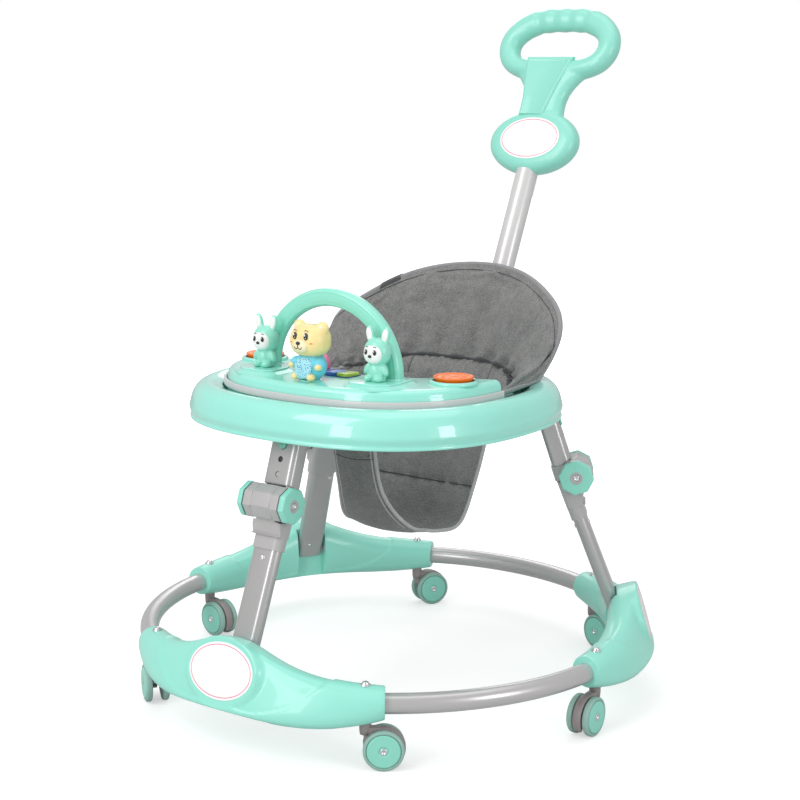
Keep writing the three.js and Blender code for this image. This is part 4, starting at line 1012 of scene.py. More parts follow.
def on_toy(o):
    return put(shade(o, 40), "toy_tray", "toy_tray", "toy_tray_mint")


def toy_tray():
    prof = [(3.2, 400.5), (2.6, 398.3), (0.5, 398.3), (0.1, 398.8), (0.4, 410), (1.0, 420), (1.6, 425)]
    r = 8.5
    prof += [(1.9 + r * (1 - math.cos(a)), TOY_TOP - r + r * math.sin(a)) for a in (rad(90 * k / 8) for k in range(9))]
    body = loft("toy_tray_shell", [[(x, y, z) for x, y in toy_outline(i)] for i, z in prof])
    wells = [prism("w", circle(25.9, 64), TOY_TOP - 12, TOY_TOP + 20, moved(s * BUTTON_X, BUTTON_Y)) for s in (-1, 1)]
    wells.append(prism("w", [(31.3, -134.3), (31.3, -105.7), (-31.3, -105.7), (-31.3, -134.3)],
                       TOY_TOP - 12, TOY_TOP + 20))
    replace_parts(on_toy(cut(body, *wells)), "toy_tray")
    bezel = [(25.9, -1), (31.4, -1), (31.0, 1.6), (30.3, 3.1), (29.2, 3.9), (27.4, 4.0), (26.2, 3.4), (25.9, 2.0),
             (25.9, -1)]
    pts = [Vector(p) for p in ((60, -172), (70, -181), (104, -180), (119, -168), (122, -148), (116, -113),
                               (78, -112), (62, -140))]
    for s, side in ((-1, "left"), (1, "right")):
        put(lathe("button_bezel_" + side, bezel, 72, moved(s * BUTTON_X, BUTTON_Y, TOY_TOP)),
            "toy_tray", "toy_tray", "toy_tray_mint")
        outline = []
        for i, p in enumerate(pts):
            a, b = (p + (q - p).normalized() * 3 for q in (pts[i - 1], pts[(i + 1) % len(pts)]))
            outline += [(1 - u) ** 2 * a + 2 * u * (1 - u) * p + u * u * b for u in (k / 4 for k in range(5))]
        on_toy(plate("toy_plate_" + side, [(s * x, y) for x, y in outline], TOY_TOP - 2, TOY_TOP + 5.7, 0.9, foot=6.5))
        on_toy(lathe("arch_seat_" + side, [(0, -1), (14.4, -1), (14.2, 6.2), (13.4, 6.9), (0, 6.9)], 40,
                     moved(s * ARCH_R, ARCH_Y, TOY_TOP)))
    on_toy(lathe("bear_seat", [(0, -1), (15.5, -1), (15.4, 0.8), (14.9, 1.2), (0, 1.2)], 48,
                 moved(0, BEAR_Y, TOY_TOP)))
    tab = balls("pink_tab", [((7.6, 3.4, 12.0), (0, 0, 10.0), dict(lean=-0.15)), ((5.0, 3.0, 6.0), (0, 0, 2.5))],
                moved(-28, -105, TOY_TOP), 0.9)
    put(tab, "pink", "toy_tray", "bear_cream")


def arch():
    sec = []
    for a in turns(56):
        x, y = 11.5 * power(math.cos(a), 2.5), 10 * power(math.sin(a), 2.5)
        if y < -4:
            y += 0.9 * smooth(7.6, 6.6, abs(x + 0.6))
        sec.append((ARCH_R + x, y))
    rings = []
    for i in range(-1, 97):
        # the first and the last ring are the feet
        t = math.pi * min(max(i, 0), 95) / 95
        rings.append([(r * math.cos(t), ARCH_Y + y,
                       TOY_TOP + (1.5 if i in (-1, 96) else 7 + (r - 5.6) * math.sin(t))) for r, y in sec])
    put(shade(loft("toy_arch_band", rings), 40), "arch", "toy_tray", "arch_mint", "toy_arch")


def buttons():
    prof = [(0, 431.0), (21.5, 431.0), (22.2, 434.5), (23.6, 438.0), (25.0, 440.2), (25.5, 441.4), (25.2, 442.3),
            (24.2, 442.7), (22.8, 442.2), (21.4, 441.2), (19.5, 440.9), (16.5, 441.1), (13.5, 441.6), (10.5, 442.1),
            (8.6, 441.8), (7.4, 441.5), (5.6, 442.4), (3.0, 443.2), (0, 443.4)]
    for s, side in ((-1, "left"), (1, "right")):
        verts = []
        for r, z in prof:
            petal = max(0.0, 1 - abs(r - 14.5) / 6.5) if z > 439 else 0
            verts += [(r * math.cos(a) + s * BUTTON_X, r * math.sin(a) + BUTTON_Y, z + 1.1 * petal * math.cos(8 * a))
                      for a in turns(96)]
        o = make("press_button_" + side, verts, grid_faces(len(prof), 96, False, True))
        put(shade(o, 50), "orange", "toy_button_" + side, "button_orange", "toy_button_" + side)


def keys():
    base = prism("key_bed", rounded(61.6, 27.6, 2, 5), TOY_TOP - 8, TOY_TOP + 1.0, moved(0, -120))
    put(bevel(base, 0.5, 2), "key_dark", "music_keys", "key_blue", "music_keys")
    for i, mat in ((-1, "key_dark"), (0, "key_blue"), (1, "key_green")):
        outline = [(x + i * 20 + 1.6 * math.sin(y / 9.0), y - 120) for x, y in rounded(18, 25.6, 4.5, 8)]
        k = plate("key_%d" % (i + 2), outline, TOY_TOP + 0.8, TOY_TOP + 4.6, 1.8, 5)
        put(shade(k, 40), mat, "music_keys", "key_blue")


def rabbit(side, x0, y0):
    at = moved(x0, y0, TOY_TOP + 5.4)
    name, c = f"rabbit_{side}_", 36.5
    body = [((13.5, 11.5, 13.5), (0, 0.5, 12.5)), ((17.6, 15.2, 17.4), (0, 0, c), dict(square=2.12)),
            *pair((6.0, 3.6, 11.8), (11.6, 1, c + 20), 0.2, square=2.2), *pair((6.2, 7.5, 4.8), (7.2, -8.0, 4.6)),
            *pair((4.0, 4.6, 8.0), (13.0, -3.0, 15), -0.45),
            ((8.4, 5.0, 8.6), (0, -7.2, 13)), ((11, 10, 3), (0, 0, 1.8)), ((5, 5, 5), (0, 12.5, 8))]
    put(balls(name + "figure", body, at, 0.75), "rabbit", "toy_tray", "rabbit_mint", "rabbit_" + side)
    mask = [((13.6, 7.6, 12.8), (0, -8.6, c - 1.2), dict(nod=-0.06, square=2.2)),
            *pair((4.3, 1.7, 8.8), (11.8, -1.5, c + 20.4), 0.2)]
    put(balls(name + "mask", mask, at), "white", "toy_tray", "rabbit_mint")
    marks = [balls(name + "features", pair((2.5, 1.3, 3.5), (6.4, -15.4, c + 0.8), nod=0.08)
                   + [((2.6, 1.7, 1.9), (0, -16.5, c - 4.0))], at)]
    marks += [thread("brow", ((s * 4.0, -15.0, c + 7.4), (s * 5.8, -14.6, c + 8.0), (s * 7.8, -13.7, c + 7.2)),
                     0.42, at) for s in (-1, 1)]
    put(join(name + "marks", marks), "black", "toy_tray", "rabbit_mint")
    glint = [((0.8, 0.5, 1.0), (x, -16.6, c + 2.1), dict(segments=12)) for x in (-7.1, 5.7)]
    put(balls(name + "glint", glint, at), "white", "toy_tray", "rabbit_mint")


def bear():
    at = moved(0, BEAR_Y, TOY_TOP + 1.3)
    c = 48.5

    def add(name, items, finish, voxel=None):
        return put(balls(name, items, at, voxel), finish, "bear", "bear_cream")

    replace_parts(add("bear_figure", [
        ((26.2, 21.4, 20.6), (0, 0, c), dict(square=2.5)), *pair((8.8, 6.4, 8.6), (18.2, 1, c + 16.4)),
        *pair((4.9, 5.2, 4.6), (20.6, -11.0, 17.5)), *pair((5.2, 6.6, 4.6), (12.0, -14.6, 4.4))], "bear", 0.85), "bear")
    add("bear_shirt", [((20.5, 17.0, 17.0), (0, 0.5, 16.6), dict(square=2.4)),
                       *pair((6.8, 9.4, 8.6), (18.8, -5.0, 20), -0.5), ((13, 12, 3), (0, 0, 1.6))], "shirt", 0.85)
    add("bear_bib", [((13.0, 4.0, 13.2), (0, -14.6, 14.8), dict(nod=-0.1, square=2.8))], "shirt_patch")
    add("bear_muzzle", [((10.6, 6.2, 8.2), (0, -19.4, c - 5.0), dict(square=2.2)),
                        *pair((4.4, 1.4, 4.2), (18.6, -4.6, c + 17.0))], "bear_light")
    marks = [balls("eyes", pair((3.2, 1.4, 4.6), (8.6, -20.6, c + 7.4), nod=-0.1)
                   + [((3.2, 2.0, 2.3), (0, -25.2, c - 1.0))], at)]
    marks += [thread("brow", ((s * 6.4, -20.2, c + 14.0), (s * 8.8, -19.8, c + 14.9), (s * 11.2, -19.0, c + 13.8)),
                     0.55, at) for s in (-1, 1)]
    marks.append(thread("smile", ((-5.6, -25.0, c - 5.6), (-4.4, -25.0, c - 7.6), (-2.4, -25.2, c - 8.2),
                                  (0, -25.7, c - 6.4), (2.4, -25.2, c - 8.2), (4.4, -25.0, c - 7.6),
                                  (5.6, -25.0, c - 5.6)), 0.5, at))
    marks.append(thread("lip", ((0, -25.9, c - 3), (0, -25.8, c - 6.4)), 0.45, at))
    put(join("bear_marks", marks), "black", "bear", "bear_cream")
    add("bear_glint", [(size, (x, y, c + z), dict(segments=12)) for size, y, z, xs in (
        ((1.1, 0.6, 1.4), -21.9, 9.0, (-9.4, 7.8)), ((0.6, 0.4, 0.7), -22.0, 5.6, (-7.8, 9.4))) for x in xs], "white")
    blush = [thread("blush", ((s * 14.0, -19.6, c - 1.2), (s * 15.6, -18.9, c - 0.8), (s * 17.2, -18.0, c - 1.3)),
                    0.55, at) for s in (-1, 1)]
    put(join("bear_blush", blush), "orange", "bear", "bear_cream")


MAT["bear_light"] = plastic("bear_muzzle", srgb(252, 236, 196), 0.42, 0.15)
MAT["shirt"] = plastic("bear_shirt_blue", srgb(112, 208, 232), 0.42, 0.15)


def speckled():
    m = Mat("bear_shirt_patch", srgb(150, 222, 238), 0.45, coat=0.1)
    v = m.node("ShaderNodeTexVoronoi", Scale=420.0, Randomness=1.0)
    m.link(m.coords(), v.inputs["Vector"])
    spots = m.ramp(v.outputs["Distance"], 0.34, 0.26)
    m.tint(spots, srgb(165, 226, 240), srgb(40, 84, 150))
    m.bump(m.noise(700.0, 2.0), 0.03, 0.0003)
    return m.m


MAT["shirt_patch"] = speckled()
toy_tray()
arch()
buttons()
keys()
rabbit("right", 90.5, -152)
rabbit("left", -88, -152)
bear()


# ---- push handle
def grip_loop():
    """Round section that follows the hand hole, with finger grooves along the top bar."""
    line = [(0, 243.2, 19.4), (24, 242.8, 19.4), (46, 239.5, 19.3), (66, 230, 18.6), (81, 214, 17.6), (84, 195, 16.9),
            (76, 178, 16.2), (60, 167.5, 15.2), (38, 163, 15.6), (0, 161, 17.0)]
    path = spline(line + [(-x, s, w) for x, s, w in reversed(line[1:-1])], 12, closed=True)
    rings = []
    for i, (x, s, w) in enumerate(path):
        (ax, a_s, _), (bx, b_s, _) = path[i - 1], path[(i + 1) % len(path)]
        length = math.hypot(bx - ax, b_s - a_s)
        nx, ns = (b_s - a_s) / length, (ax - bx) / length
        if nx * x + ns * (s - 203) < 0:
            nx, ns = -nx, -ns
        groove = 0.0
        if s > 230 and abs(x) < 45:
            wave = smooth(50, 40, abs(x)) * (0.5 - 0.5 * math.cos(2 * math.pi * (x + 39) / 26.0))
            groove = (1 - wave) * smooth(50, 42, abs(x))
        ring = []
        for a in turns(28):
            out = (w * 0.93 - 1.0 * groove) * power(math.cos(a), 2.25)
            ring.append((x + nx * out, (15.9 - 2.4 * groove) * power(math.sin(a), 2.25), s + ns * out))
        rings.append(ring)
    return loft("loop", rings, closed=True, tf=on_push)


def grip_badge():
    """Thick oval with rounded edges."""
    rings = []
    for k in range(21):
        a = math.pi * k / 20 - math.pi / 2
        y = 17.2 * power(math.sin(a), 2.7)
        f = max(power(math.cos(a), 2.7), 0.02)
        rx, rz = ((53.3 + 19 * f) * f ** 0.04, 30 + 19 * f) if f > 0.05 else (54, 31)
        rings.append([(rx * math.cos(b), y, 47 + rz * math.sin(b)) for b in turns(64)])
    return loft("badge", rings, tf=on_push)


def push_handle():
    s0 = push_s(376.5) + 5.4
    tube = lathe("push_pole", [(0, s0), (15.4, s0), (16, s0 + 0.6), (16, -60), (16, 3), (0, 3)], 64, on_push)
    put(shade(tube, 50), "tube", "push_handle", "tube_white", "push_tube")
    neck = [[(w * power(math.cos(a), 3.2), t * power(math.sin(a), 2.6), s) for a in turns(40)] for s, w, t in (
        (60, 36, 13), (84, 37, 14.2), (98, 34.5, 14.6), (112, 33.8, 14.8), (124, 36, 15.0), (136, 42, 15.2),
        (146, 50, 15.4), (155, 59, 15.0), (163, 65, 13.8), (170, 61, 11.5))]
    o = join("push_grip_body", [grip_loop(), loft("neck", neck, tf=on_push), grip_badge()])
    put(skin(o, 1.8, 10), "grip", "push_handle", "grip_mint", "push_grip")
    # raised panel on the front of the neck
    outline = spline([(-29.5, 86), (-30.0, 112), (-33, 130), (-36, 150), (-38, 168), (-38.5, 177)], 3) \
        + spline([(38, 177), (34.5, 166), (28, 148), (21, 128), (15, 106), (10, 86)], 3)
    cx = sum(p[0] for p in outline) / len(outline)
    rows = [[(x - d * math.copysign(min(1, abs(x - cx) / 35.0 * 2.5), x - cx), y, s - d * smooth(170, 177, s))
             for x, s in outline]
            for d, y in ((-1.2, -10.0), (-0.6, -14.6), (0.3, -16.2), (1.8, -17.3), (3.6, -17.4), (5.2, -16.8),
                         (6.4, -16.4))]
    panel = loft("grip_panel", rows, tf=on_push)
    put(shade(bevel(panel, 0.5, 2), 40), "grip", "push_handle", "grip_mint")
    parts = label("grip_label", Vector((0, 0, 0)), Vector((0, 0, 1)), Vector((0, 1, 0)), Vector((1, 0, 0)), 49.5, 32.2,
                  lambda v: on_push((v[0], -17.15 - v[2], 48 + v[1])))
    for part, finish in zip(parts, ("label", "label_ring")):
        put(part, finish, "push_handle", "grip_mint")


push_handle()


# ---- seat
DECK = 398.0
# free edge and lower seam of the seat back, left to right, heights over the deck
BACK_TOP = [(-178, 84, 19), (-186, 109, 54), (-181, 119, 77), (-156, 141, 97), (-121, 163, 122), (-75, 195, 143),
            (0, 222, 152), (80, 195, 146), (133, 160, 132), (171, 143, 108), (189, 119, 83), (187, 109, 56),
            (176, 84, 19)]
BACK_LOW = [(-148, 27, 4), (-150, 50, 4), (-145, 75, 4), (-130, 105, 6), (-108, 131, 15), (-60, 152, 22.5)]
BACK_LOW += [(0, 158, 22.5)] + [(-x, y, z) for x, y, z in reversed(BACK_LOW)]


def inflate(o, pinned, pressure, cap, frames=20):
    """Fill a closed cloth shell with air; pinned vertices hold, and no point moves past cap mm."""
    start = [v.co.copy() for v in o.data.vertices]
    group = o.vertex_groups.new(name="seams")
    group.add(pinned, 1.0, "REPLACE")
    m = o.modifiers.new("air", "CLOTH")
    c = m.settings
    c.use_pressure = True
    c.uniform_pressure_force = pressure
    c.vertex_group_mass = "seams"
    c.pin_stiffness = 1.0
    c.shrink_min = -0.02
    c.tension_stiffness = c.compression_stiffness = 12.0
    c.shear_stiffness = 5
    c.bending_stiffness = 0.3
    c.mass = 0.25
    c.quality = 6
    c.effector_weights.gravity = 0
    m.collision_settings.use_collision = False
    m.point_cache.frame_start, m.point_cache.frame_end = 1, frames
    for f in range(1, frames + 1):
        bpy.context.scene.frame_set(f)
    apply_all(o)
    bpy.context.scene.frame_set(1)
    for v, s in zip(o.data.vertices, start):
        d = v.co - s
        if d.length > cap * MM:
            v.co = s + d.normalized() * cap * MM
    o.vertex_groups.clear()


def back_point(u, v):
    """Mid surface of the seat back: u from left to right, v from the seam at the opening to the top edge."""
    s = u * (len(BACK_TOP) - 1)
    # the top edge is a blend of near points, which evens out its curve
    reach = min(1, s, len(BACK_TOP) - 1 - s)
    near = (spline_at(BACK_TOP, min(max(s + d * reach, 0), len(BACK_TOP) - 1)) for d in (-0.8, -0.4, 0, 0.4, 0.8))
    hi = [sum(w * c for w, c in zip((0.12, 0.21, 0.34, 0.21, 0.12), cs)) for cs in zip(*near)]
    x, y, z = (a + (b - a) * v for a, b in zip(spline_at(BACK_LOW, s), hi))
    return Vector((x, y, z + DECK))


def opening_at(x):
    """Rear edge of the tray's opening, 6 mm inside it."""
    k = min(abs(x) / (OPEN["a"] - 6), 1)
    return OPEN["cy"] + (OPEN["b"] - 6) * (1 - k ** OPEN["n"]) ** (1 / OPEN["n"])


def skirt_point(u, w):
    """Lower panels: w from 0 at the seam down to 1 inside the opening."""
    a = back_point(u, 0)
    b = Vector((a.x * 0.985, opening_at(a.x * 0.985) - 1.5, 386.0))
    return a.lerp(b, w) + Vector((0, -5 * math.sin(math.pi * w), 0))


def back_ends(u):
    return min(smooth(0, 0.05, u), smooth(1, 0.95, u))


def back_crown(u, v):
    return (smooth(0.0, 0.16, v) * smooth(1.0, 0.86, v)) * back_ends(u)


def to_child(p):
    return Vector((-p.x, -p.y - 20, 0))


def cushion(name, point, nu, nv, half, toward):
    """Closed shell about a surface; half gives its half thickness to either side at (u, v), and
    toward a direction on the first of them. Returns the shell, its rim, the offset of the second side
    and the surface."""
    mid = [[point(i / (nu - 1), j / (nv - 1)) for j in range(nv)] for i in range(nu)]
    inner, outer = [], []
    for i in range(nu):
        for j in range(nv):
            p = mid[i][j]
            du = mid[min(i + 1, nu - 1)][j] - mid[max(i - 1, 0)][j]
            dv = mid[i][min(j + 1, nv - 1)] - mid[i][max(j - 1, 0)]
            n = du.cross(dv).normalized()
            if n.dot(toward(p)) < 0:
                n = -n
            a, b = half(i / (nu - 1), j / (nv - 1))
            inner.append(tuple(p + n * a))
            outer.append(tuple(p - n * b))
    k = nu * nv
    faces = grid_faces(nu, nv) + [tuple(x + k for x in reversed(f)) for f in grid_faces(nu, nv)]
    rim = [i * nv for i in range(nu)] + [(nu - 1) * nv + j for j in range(1, nv)] \
        + [i * nv + nv - 1 for i in range(nu - 2, -1, -1)] + [j for j in range(nv - 2, 0, -1)]
    faces += [(a, b, b + k, a + k) for a, b in zip(rim, rim[1:] + rim[:1])]
    return make(name, inner + outer, faces), rim, k, mid


def trimming(name, path, r, sides, finish="seam"):
    """Seam, hem or piping of the seat: a round section along a path."""
    return put(sweep(name, path, circle(r, sides)), finish, "tray", "seat_cloth")


# place along the seam, width, depth in mm and lean of each gather
GATHERS = ((0.30, 0.010, 2.2, 0.02), (0.345, 0.012, 3.0, -0.03), (0.40, 0.010, 2.0, 0.03), (0.47, 0.011, 2.4, -0.02),
           (0.53, 0.012, 2.4, 0.02), (0.585, 0.011, 2.8, 0.03), (0.635, 0.012, 3.4, 0.05), (0.685, 0.013, 3.8, 0.04),
           (0.73, 0.014, 4.2, 0.05), (0.775, 0.015, 4.6, 0.06), (0.82, 0.014, 3.6, 0.05), (0.26, 0.013, 3.6, -0.04),
           (0.215, 0.014, 4.2, -0.05), (0.175, 0.013, 3.4, -0.05))


def pucker(u, v):
    """Gathers that fan up from the seam on the back and wings, in mm of relief."""
    h = 0.0
    for c, w, a, lean in GATHERS:
        d = (u - c - lean * v * 2.2) / (w * (1 + 4 * v))
        h -= 1.9 * a * math.exp(-d * d) * math.exp(-v / 0.30) * smooth(0.0, 0.03, v)
        h += 1.5 * a * math.exp(-((abs(d) - 2.0) ** 2)) * math.exp(-v / 0.32)
    for c, s, a in ((0.36, 0.5, 1.6), (0.62, -0.42, 1.8), (0.79, -0.9, 2.6), (0.21, 0.9, 2.4)):
        d = (u - c - s * 0.10 * (v - 0.3)) / 0.035
        h += a * math.exp(-d * d) * smooth(0.05, 0.3, v) * smooth(0.95, 0.6, v)
    return h


def seat_back():
    nu, nv = 240, 40

    def half(u, v):
        crown = back_crown(u, v)
        grain = 1.2 * noise.noise(Vector((u * 9, v * 5, 1.7))) + 0.5 * noise.noise(Vector((u * 30, v * 14, 4.2)))
        return 2.4 + 3.6 * crown + grain * crown, 2.2 + 2.2 * crown + 0.5 * grain * crown
    o, rim, k, _ = cushion("seat_back_pad", back_point, nu, nv, half, to_child)
    pins = set(rim) | {x + k for x in rim} | {i * nv + j for i in range(nu) for j in (1, nv - 2, nv - 3)}
    inflate(o, sorted(pins), 2.2, 5.0)
    # gathers pressed into the filled pad
    for i in range(nu):
        for j in range(1, nv - 1):
            u, v = i / (nu - 1), j / (nv - 1)
            h = pucker(u, v) * back_ends(u)
            o.data.vertices[i * nv + j].co += inward(u, v) * min(max(h, -3.9), 7.5) * MM
    soften(o)
    put(o, "cloth", "tray", "seat_cloth", "seat_back")

    # lower panels inside the opening, in three padded parts with sewn seams between them
    for name, u0, u1 in (("left", 0.185, 0.405), ("middle", 0.405, 0.595), ("right", 0.595, 0.815)):
        def point(u, v, u0=u0, u1=u1):
            return skirt_point(u0 + (u1 - u0) * u, v)

        def half(u, v, u0=u0):
            crown = smooth(0, 0.22, u) * smooth(1, 0.78, u) * smooth(0, 0.3, v)
            gath = 1.5 * math.exp(-v / 0.25) * math.sin((u0 + u) * 70) * smooth(0, 0.1, u) * smooth(1, 0.9, u)
            return 1.6 + 5.0 * crown + gath, 1.6 + 1.0 * crown
        p, rim, k, _ = cushion("seat_lower_pad_" + name, point, 44, 14, half, to_child)
        inflate(p, sorted(set(rim) | {x + k for x in rim}), 2.5, 3.5, frames=14)
        soften(p)
        put(p, "cloth", "tray", "seat_cloth")

    # binding along the free edge, and the stitched seam inside it
    path = [back_point(0, i / 10) for i in range(1, 10)] + [back_point(i / 150, 1.0) for i in range(151)] \
        + [back_point(1, 1 - i / 10) for i in range(1, 10)]
    trimming("seat_binding", path, 3.4, 12, "binding")
    path = [inner_face(u, 0.925 + 0.01 * smooth(0.2, 0, min(u, 1 - u)), 0.9) for u in (i / 150 for i in range(3, 148))]
    trimming("seat_edge_seam", path, 0.55, 6)
    trimming("seat_gather_seam", [inner_face(i / 150, 0.0, -0.6) for i in range(27, 124)], 2.2, 10)
    for s, side in ((0, "left"), (1, "right")):
        path = [back_point(abs(s - i / 60), 0.0) + Vector((0, 0, 0.6)) for i in range(12, -1, -1)]
        path += [back_point(s, v) for v in (0.25, 0.5, 0.75, 0.98)]
        trimming("seat_wing_piping_" + side, path, 2.3, 10, "piping")
    # dark tab on the top left edge
    rows = []
    for u in (0.308 + 0.05 * i / 8 for i in range(9)):
        a = back_point(u, 1.0)
        d = (a - back_point(u, 0.93)).normalized()
        rows.append([tuple(a + d * along + Vector((0, across, 0)))
                     for along, across in ((4.6, -2.2), (4.6, 2.2), (-3.5, 6.0), (-3.5, -6.0))])
    put(bevel(loft("seat_tab", rows, smooth=False), 0.5, 2), "seam", "tray", "seat_cloth")


def inward(u, v):
    """Normal of the seat back, towards the child."""
    du = back_point(min(u + 0.01, 1), v) - back_point(max(u - 0.01, 0), v)
    dv = back_point(u, min(v + 0.02, 1)) - back_point(u, max(v - 0.02, 0))
    n = du.cross(dv).normalized()
    return -n if n.dot(to_child(back_point(u, v))) < 0 else n


def inner_face(u, v, lift):
    """Point on the padded face of the seat back, lifted off it by some mm."""
    return back_point(u, v) + inward(u, v) * (2.4 + 3.6 * back_crown(u, v) + pucker(u, v) * back_ends(u) + lift)


# middle line of the sling from front to rear: (y, z)
SLING = [(-86.9, 397), (-86.0, 335), (-66, 262), (-30, 216), (20, 203), (58, 212), (88, 260), (116, 320), (142.6, 397)]


def sling_mid(u, v):
    """Mid surface of the sling: u from left to right, v from the front of the opening to its rear."""
    y, z = spline_at(SLING, v * (len(SLING) - 1))
    half = 34 + 22 * smooth(0.2, 0.42, v) + 42 * max(0, (v - 0.45) / 0.55) ** 0.42
    t = 2 * u - 1
    hug = 5 * (1 - v / 0.5) if v < 0.5 else -38 * (v - 0.5) / 0.5
    return Vector((t * half, y + hug * t * t, z + 8 * t * t * math.sin(math.pi * v)))


def sling():
    nu, nv = 56, 130

    def half(u, v):
        t = abs(2 * u - 1)
        folds = 0.0
        for c, w, a in ((0.18, 0.03, 1.8), (0.34, 0.05, -1.6), (0.52, 0.04, 2.0), (0.66, 0.05, -1.8), (0.82, 0.04, 2.2)):
            d = (u - c - 0.12 * math.sin(5 * v + c * 9)) / w
            folds += a * math.exp(-d * d)
        k = smooth(0.36, 0.5, v) * smooth(1.0, 0.85, v) * smooth(1.0, 0.86, t)
        r = folds * k + 1.4 * k * noise.noise(Vector((u * 5, v * 11, 0.3)))
        for c, depth, w in ((0.13, 1.6, 0.006), (0.155, 1.6, 0.006), (0.745, 3.2, 0.011)):
            r -= depth * math.exp(-((v - c) / w) ** 2) * smooth(1.0, 0.9, t)
        seat = 3.2 * math.exp(-((v - 0.70) / 0.05) ** 2) + 3.0 * math.exp(-((v - 0.79) / 0.05) ** 2)
        pleat = 1.2 * math.sin(u * 46) * math.exp(-abs(v - 0.745) / 0.03)
        return 1.4 + r + (seat + pleat) * smooth(1.0, 0.8, t), 1.3 - 0.6 * r
    o, _, _, mid = cushion("seat_sling_cloth", sling_mid, nu, nv, half, lambda p: Vector((0, 25, 330)) - p)
    put(o, "cloth", "tray", "seat_cloth", "seat_sling")
    pieces = []
    for s, side in ((0, "left"), (1, "right")):
        pieces.append(trimming("sling_piping_" + side, [sling_mid(s, j / 120) for j in range(121)], 2.4, 10, "piping"))
        # second row of piping beside the crotch panel
        path = [sling_mid(0.075 + 0.85 * s, j / 120) + Vector((0, -1.8, 0)) for j in range(46)]
        pieces.append(trimming("sling_hem_" + side, path, 1.0, 6, "piping"))
    for side, v in (("upper", 0.13), ("lower", 0.155)):
        path = [sling_mid(0.03 + 0.94 * i / 30, v) + Vector((0, -1.9, 0)) for i in range(31)]
        pieces.append(trimming("sling_band_" + side, path, 0.7, 6))
    path = [sling_mid(0.02 + 0.96 * i / 40, 0.745) + Vector((0, -1.6, 1.6)) for i in range(41)]
    pieces.append(trimming("sling_seat_seam", path, 0.9, 6))
    at = sling_mid(0.80, 0.075)
    snap = lathe("sling_snap", [(0, 0), (4.6, 0), (4.8, 0.6), (4.2, 1.3), (3.0, 1.5), (2.4, 1.1), (0, 1.0)], 24,
                 lambda v: (at.x + v[0], at.y - 1.3 - v[2], at.z + v[1]))
    pieces.append(put(snap, "bolt", "tray", "seat_cloth"))
    for q in [o] + pieces:
        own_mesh(q)


MAT["binding"] = heather("seat_binding", srgb(120, 119, 122), srgb(168, 167, 169), 1.3, 0.35)
MAT["seam"] = heather("seat_seam", srgb(58, 58, 61), srgb(84, 84, 88), 1.3, 0.3)
seat_back()
sling()


# ---- stage
def tree(owner, *kinds):
    """Nodes of an owner's tree, its link function, and new nodes of the given kinds."""
    owner.use_nodes = True
    t = owner.node_tree
    return [t.nodes, t.links.new] + [t.nodes.new("ShaderNode" + kind) for kind in kinds]


def lamp(name, at, target, size, power_w, size_y=None):
    d = bpy.data.lights.new(name, "AREA")
    d.shape = "RECTANGLE"
    d.size = size
    d.size_y = size_y or size
    d.energy = power_w
    o = bpy.data.objects.new(name, d)
    bpy.context.scene.collection.objects.link(o)
    o.location = at
    o.rotation_euler = (Vector(target) - Vector(at)).to_track_quat("-Z", "Y").to_euler()


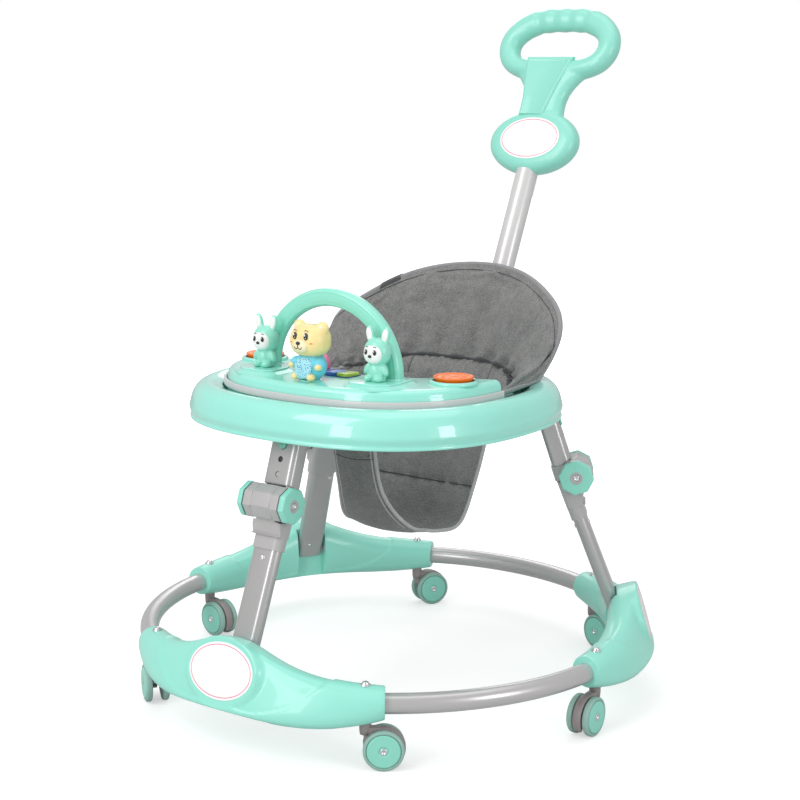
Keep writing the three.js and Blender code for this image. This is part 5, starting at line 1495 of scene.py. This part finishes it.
def stage():
    scene = bpy.context.scene
    scene.view_settings.view_transform = "Standard"
    cam_data = bpy.data.cameras.new("camera")
    cam = bpy.data.objects.new("camera", cam_data)
    scene.collection.objects.link(cam)
    # pose and lens fitted to the photograph: right, up and back axes, and the place
    m = Matrix(((0.8094734, 0.5871193, 0.00661385), (-0.11247525, 0.14399666, 0.98316544),
                (0.57628303, -0.79659016, 0.18259786))).transposed().to_4x4()
    m.translation = Vector((1.302927, -1.830911, 0.793069))
    cam.matrix_world = m
    cam_data.lens = 75.64
    cam_data.sensor_width = 36
    cam_data.clip_end = 50
    scene.camera = cam

    reach = 9000
    floor = make("studio_floor", [(-reach, -reach, 0), (reach, -reach, 0), (reach, reach, 0), (-reach, reach, 0)],
                 [(0, 1, 2, 3)])
    fm = bpy.data.materials.new("floor_white")
    n, link, geo, path, far, lift, seen, glow, add = tree(
        fm, "NewGeometry", "LightPath", "VectorMath", "MapRange", "Math", "Emission", "AddShader")
    b = n["Principled BSDF"]
    b.inputs["Base Color"].default_value = (0.62, 0.62, 0.62, 1)
    b.inputs["Roughness"].default_value = 0.85
    # pale sweep: white to the camera with the object's shadow kept
    far.operation = "LENGTH"
    link(geo.outputs["Position"], far.inputs[0])
    for socket, value in (("From Min", 0.5), ("From Max", 2.2), ("To Min", 0.52), ("To Max", 1.0)):
        lift.inputs[socket].default_value = value
    link(far.outputs["Value"], lift.inputs["Value"])
    seen.operation = "MULTIPLY"
    link(lift.outputs["Result"], seen.inputs[0])
    link(path.outputs["Is Camera Ray"], seen.inputs[1])
    link(seen.outputs[0], glow.inputs["Strength"])
    link(b.outputs[0], add.inputs[0])
    link(glow.outputs[0], add.inputs[1])
    link(add.outputs[0], n["Material Output"].inputs["Surface"])
    floor.data.materials.append(fm)

    # plain light on the object, white to the camera and through clear parts
    world = bpy.data.worlds.new("studio")
    scene.world = world
    n, link, white, path, either, mix = tree(world, "Background", "LightPath", "Math", "MixShader")
    for bg, strength in ((n["Background"], 0.60), (white, 1.0)):
        bg.inputs["Color"].default_value = (1, 1, 1, 1)
        bg.inputs["Strength"].default_value = strength
    either.operation = "MAXIMUM"
    link(path.outputs["Is Camera Ray"], either.inputs[0])
    link(path.outputs["Is Transmission Ray"], either.inputs[1])
    link(either.outputs[0], mix.inputs["Fac"])
    link(n["Background"].outputs[0], mix.inputs[1])
    link(white.outputs[0], mix.inputs[2])
    link(mix.outputs[0], n["World Output"].inputs["Surface"])

    lamp("key", (-0.6, -2.2, 2.3), (0, 0, 0.4), 1.6, 30)
    lamp("panel_front", (0.0, -3.2, 1.15), (0.1, -0.3, 0.4), 0.75, 16, 1.3)
    lamp("panel_right", (3.2, -0.5, 1.1), (0.15, -0.2, 0.4), 0.75, 20, 1.3)
    lamp("top", (0.2, 0.3, 3.0), (0, 0, 0.3), 2.2, 14)
    lamp("rim", (-1.6, 2.2, 2.0), (0, 0, 0.5), 1.4, 12)


stage()
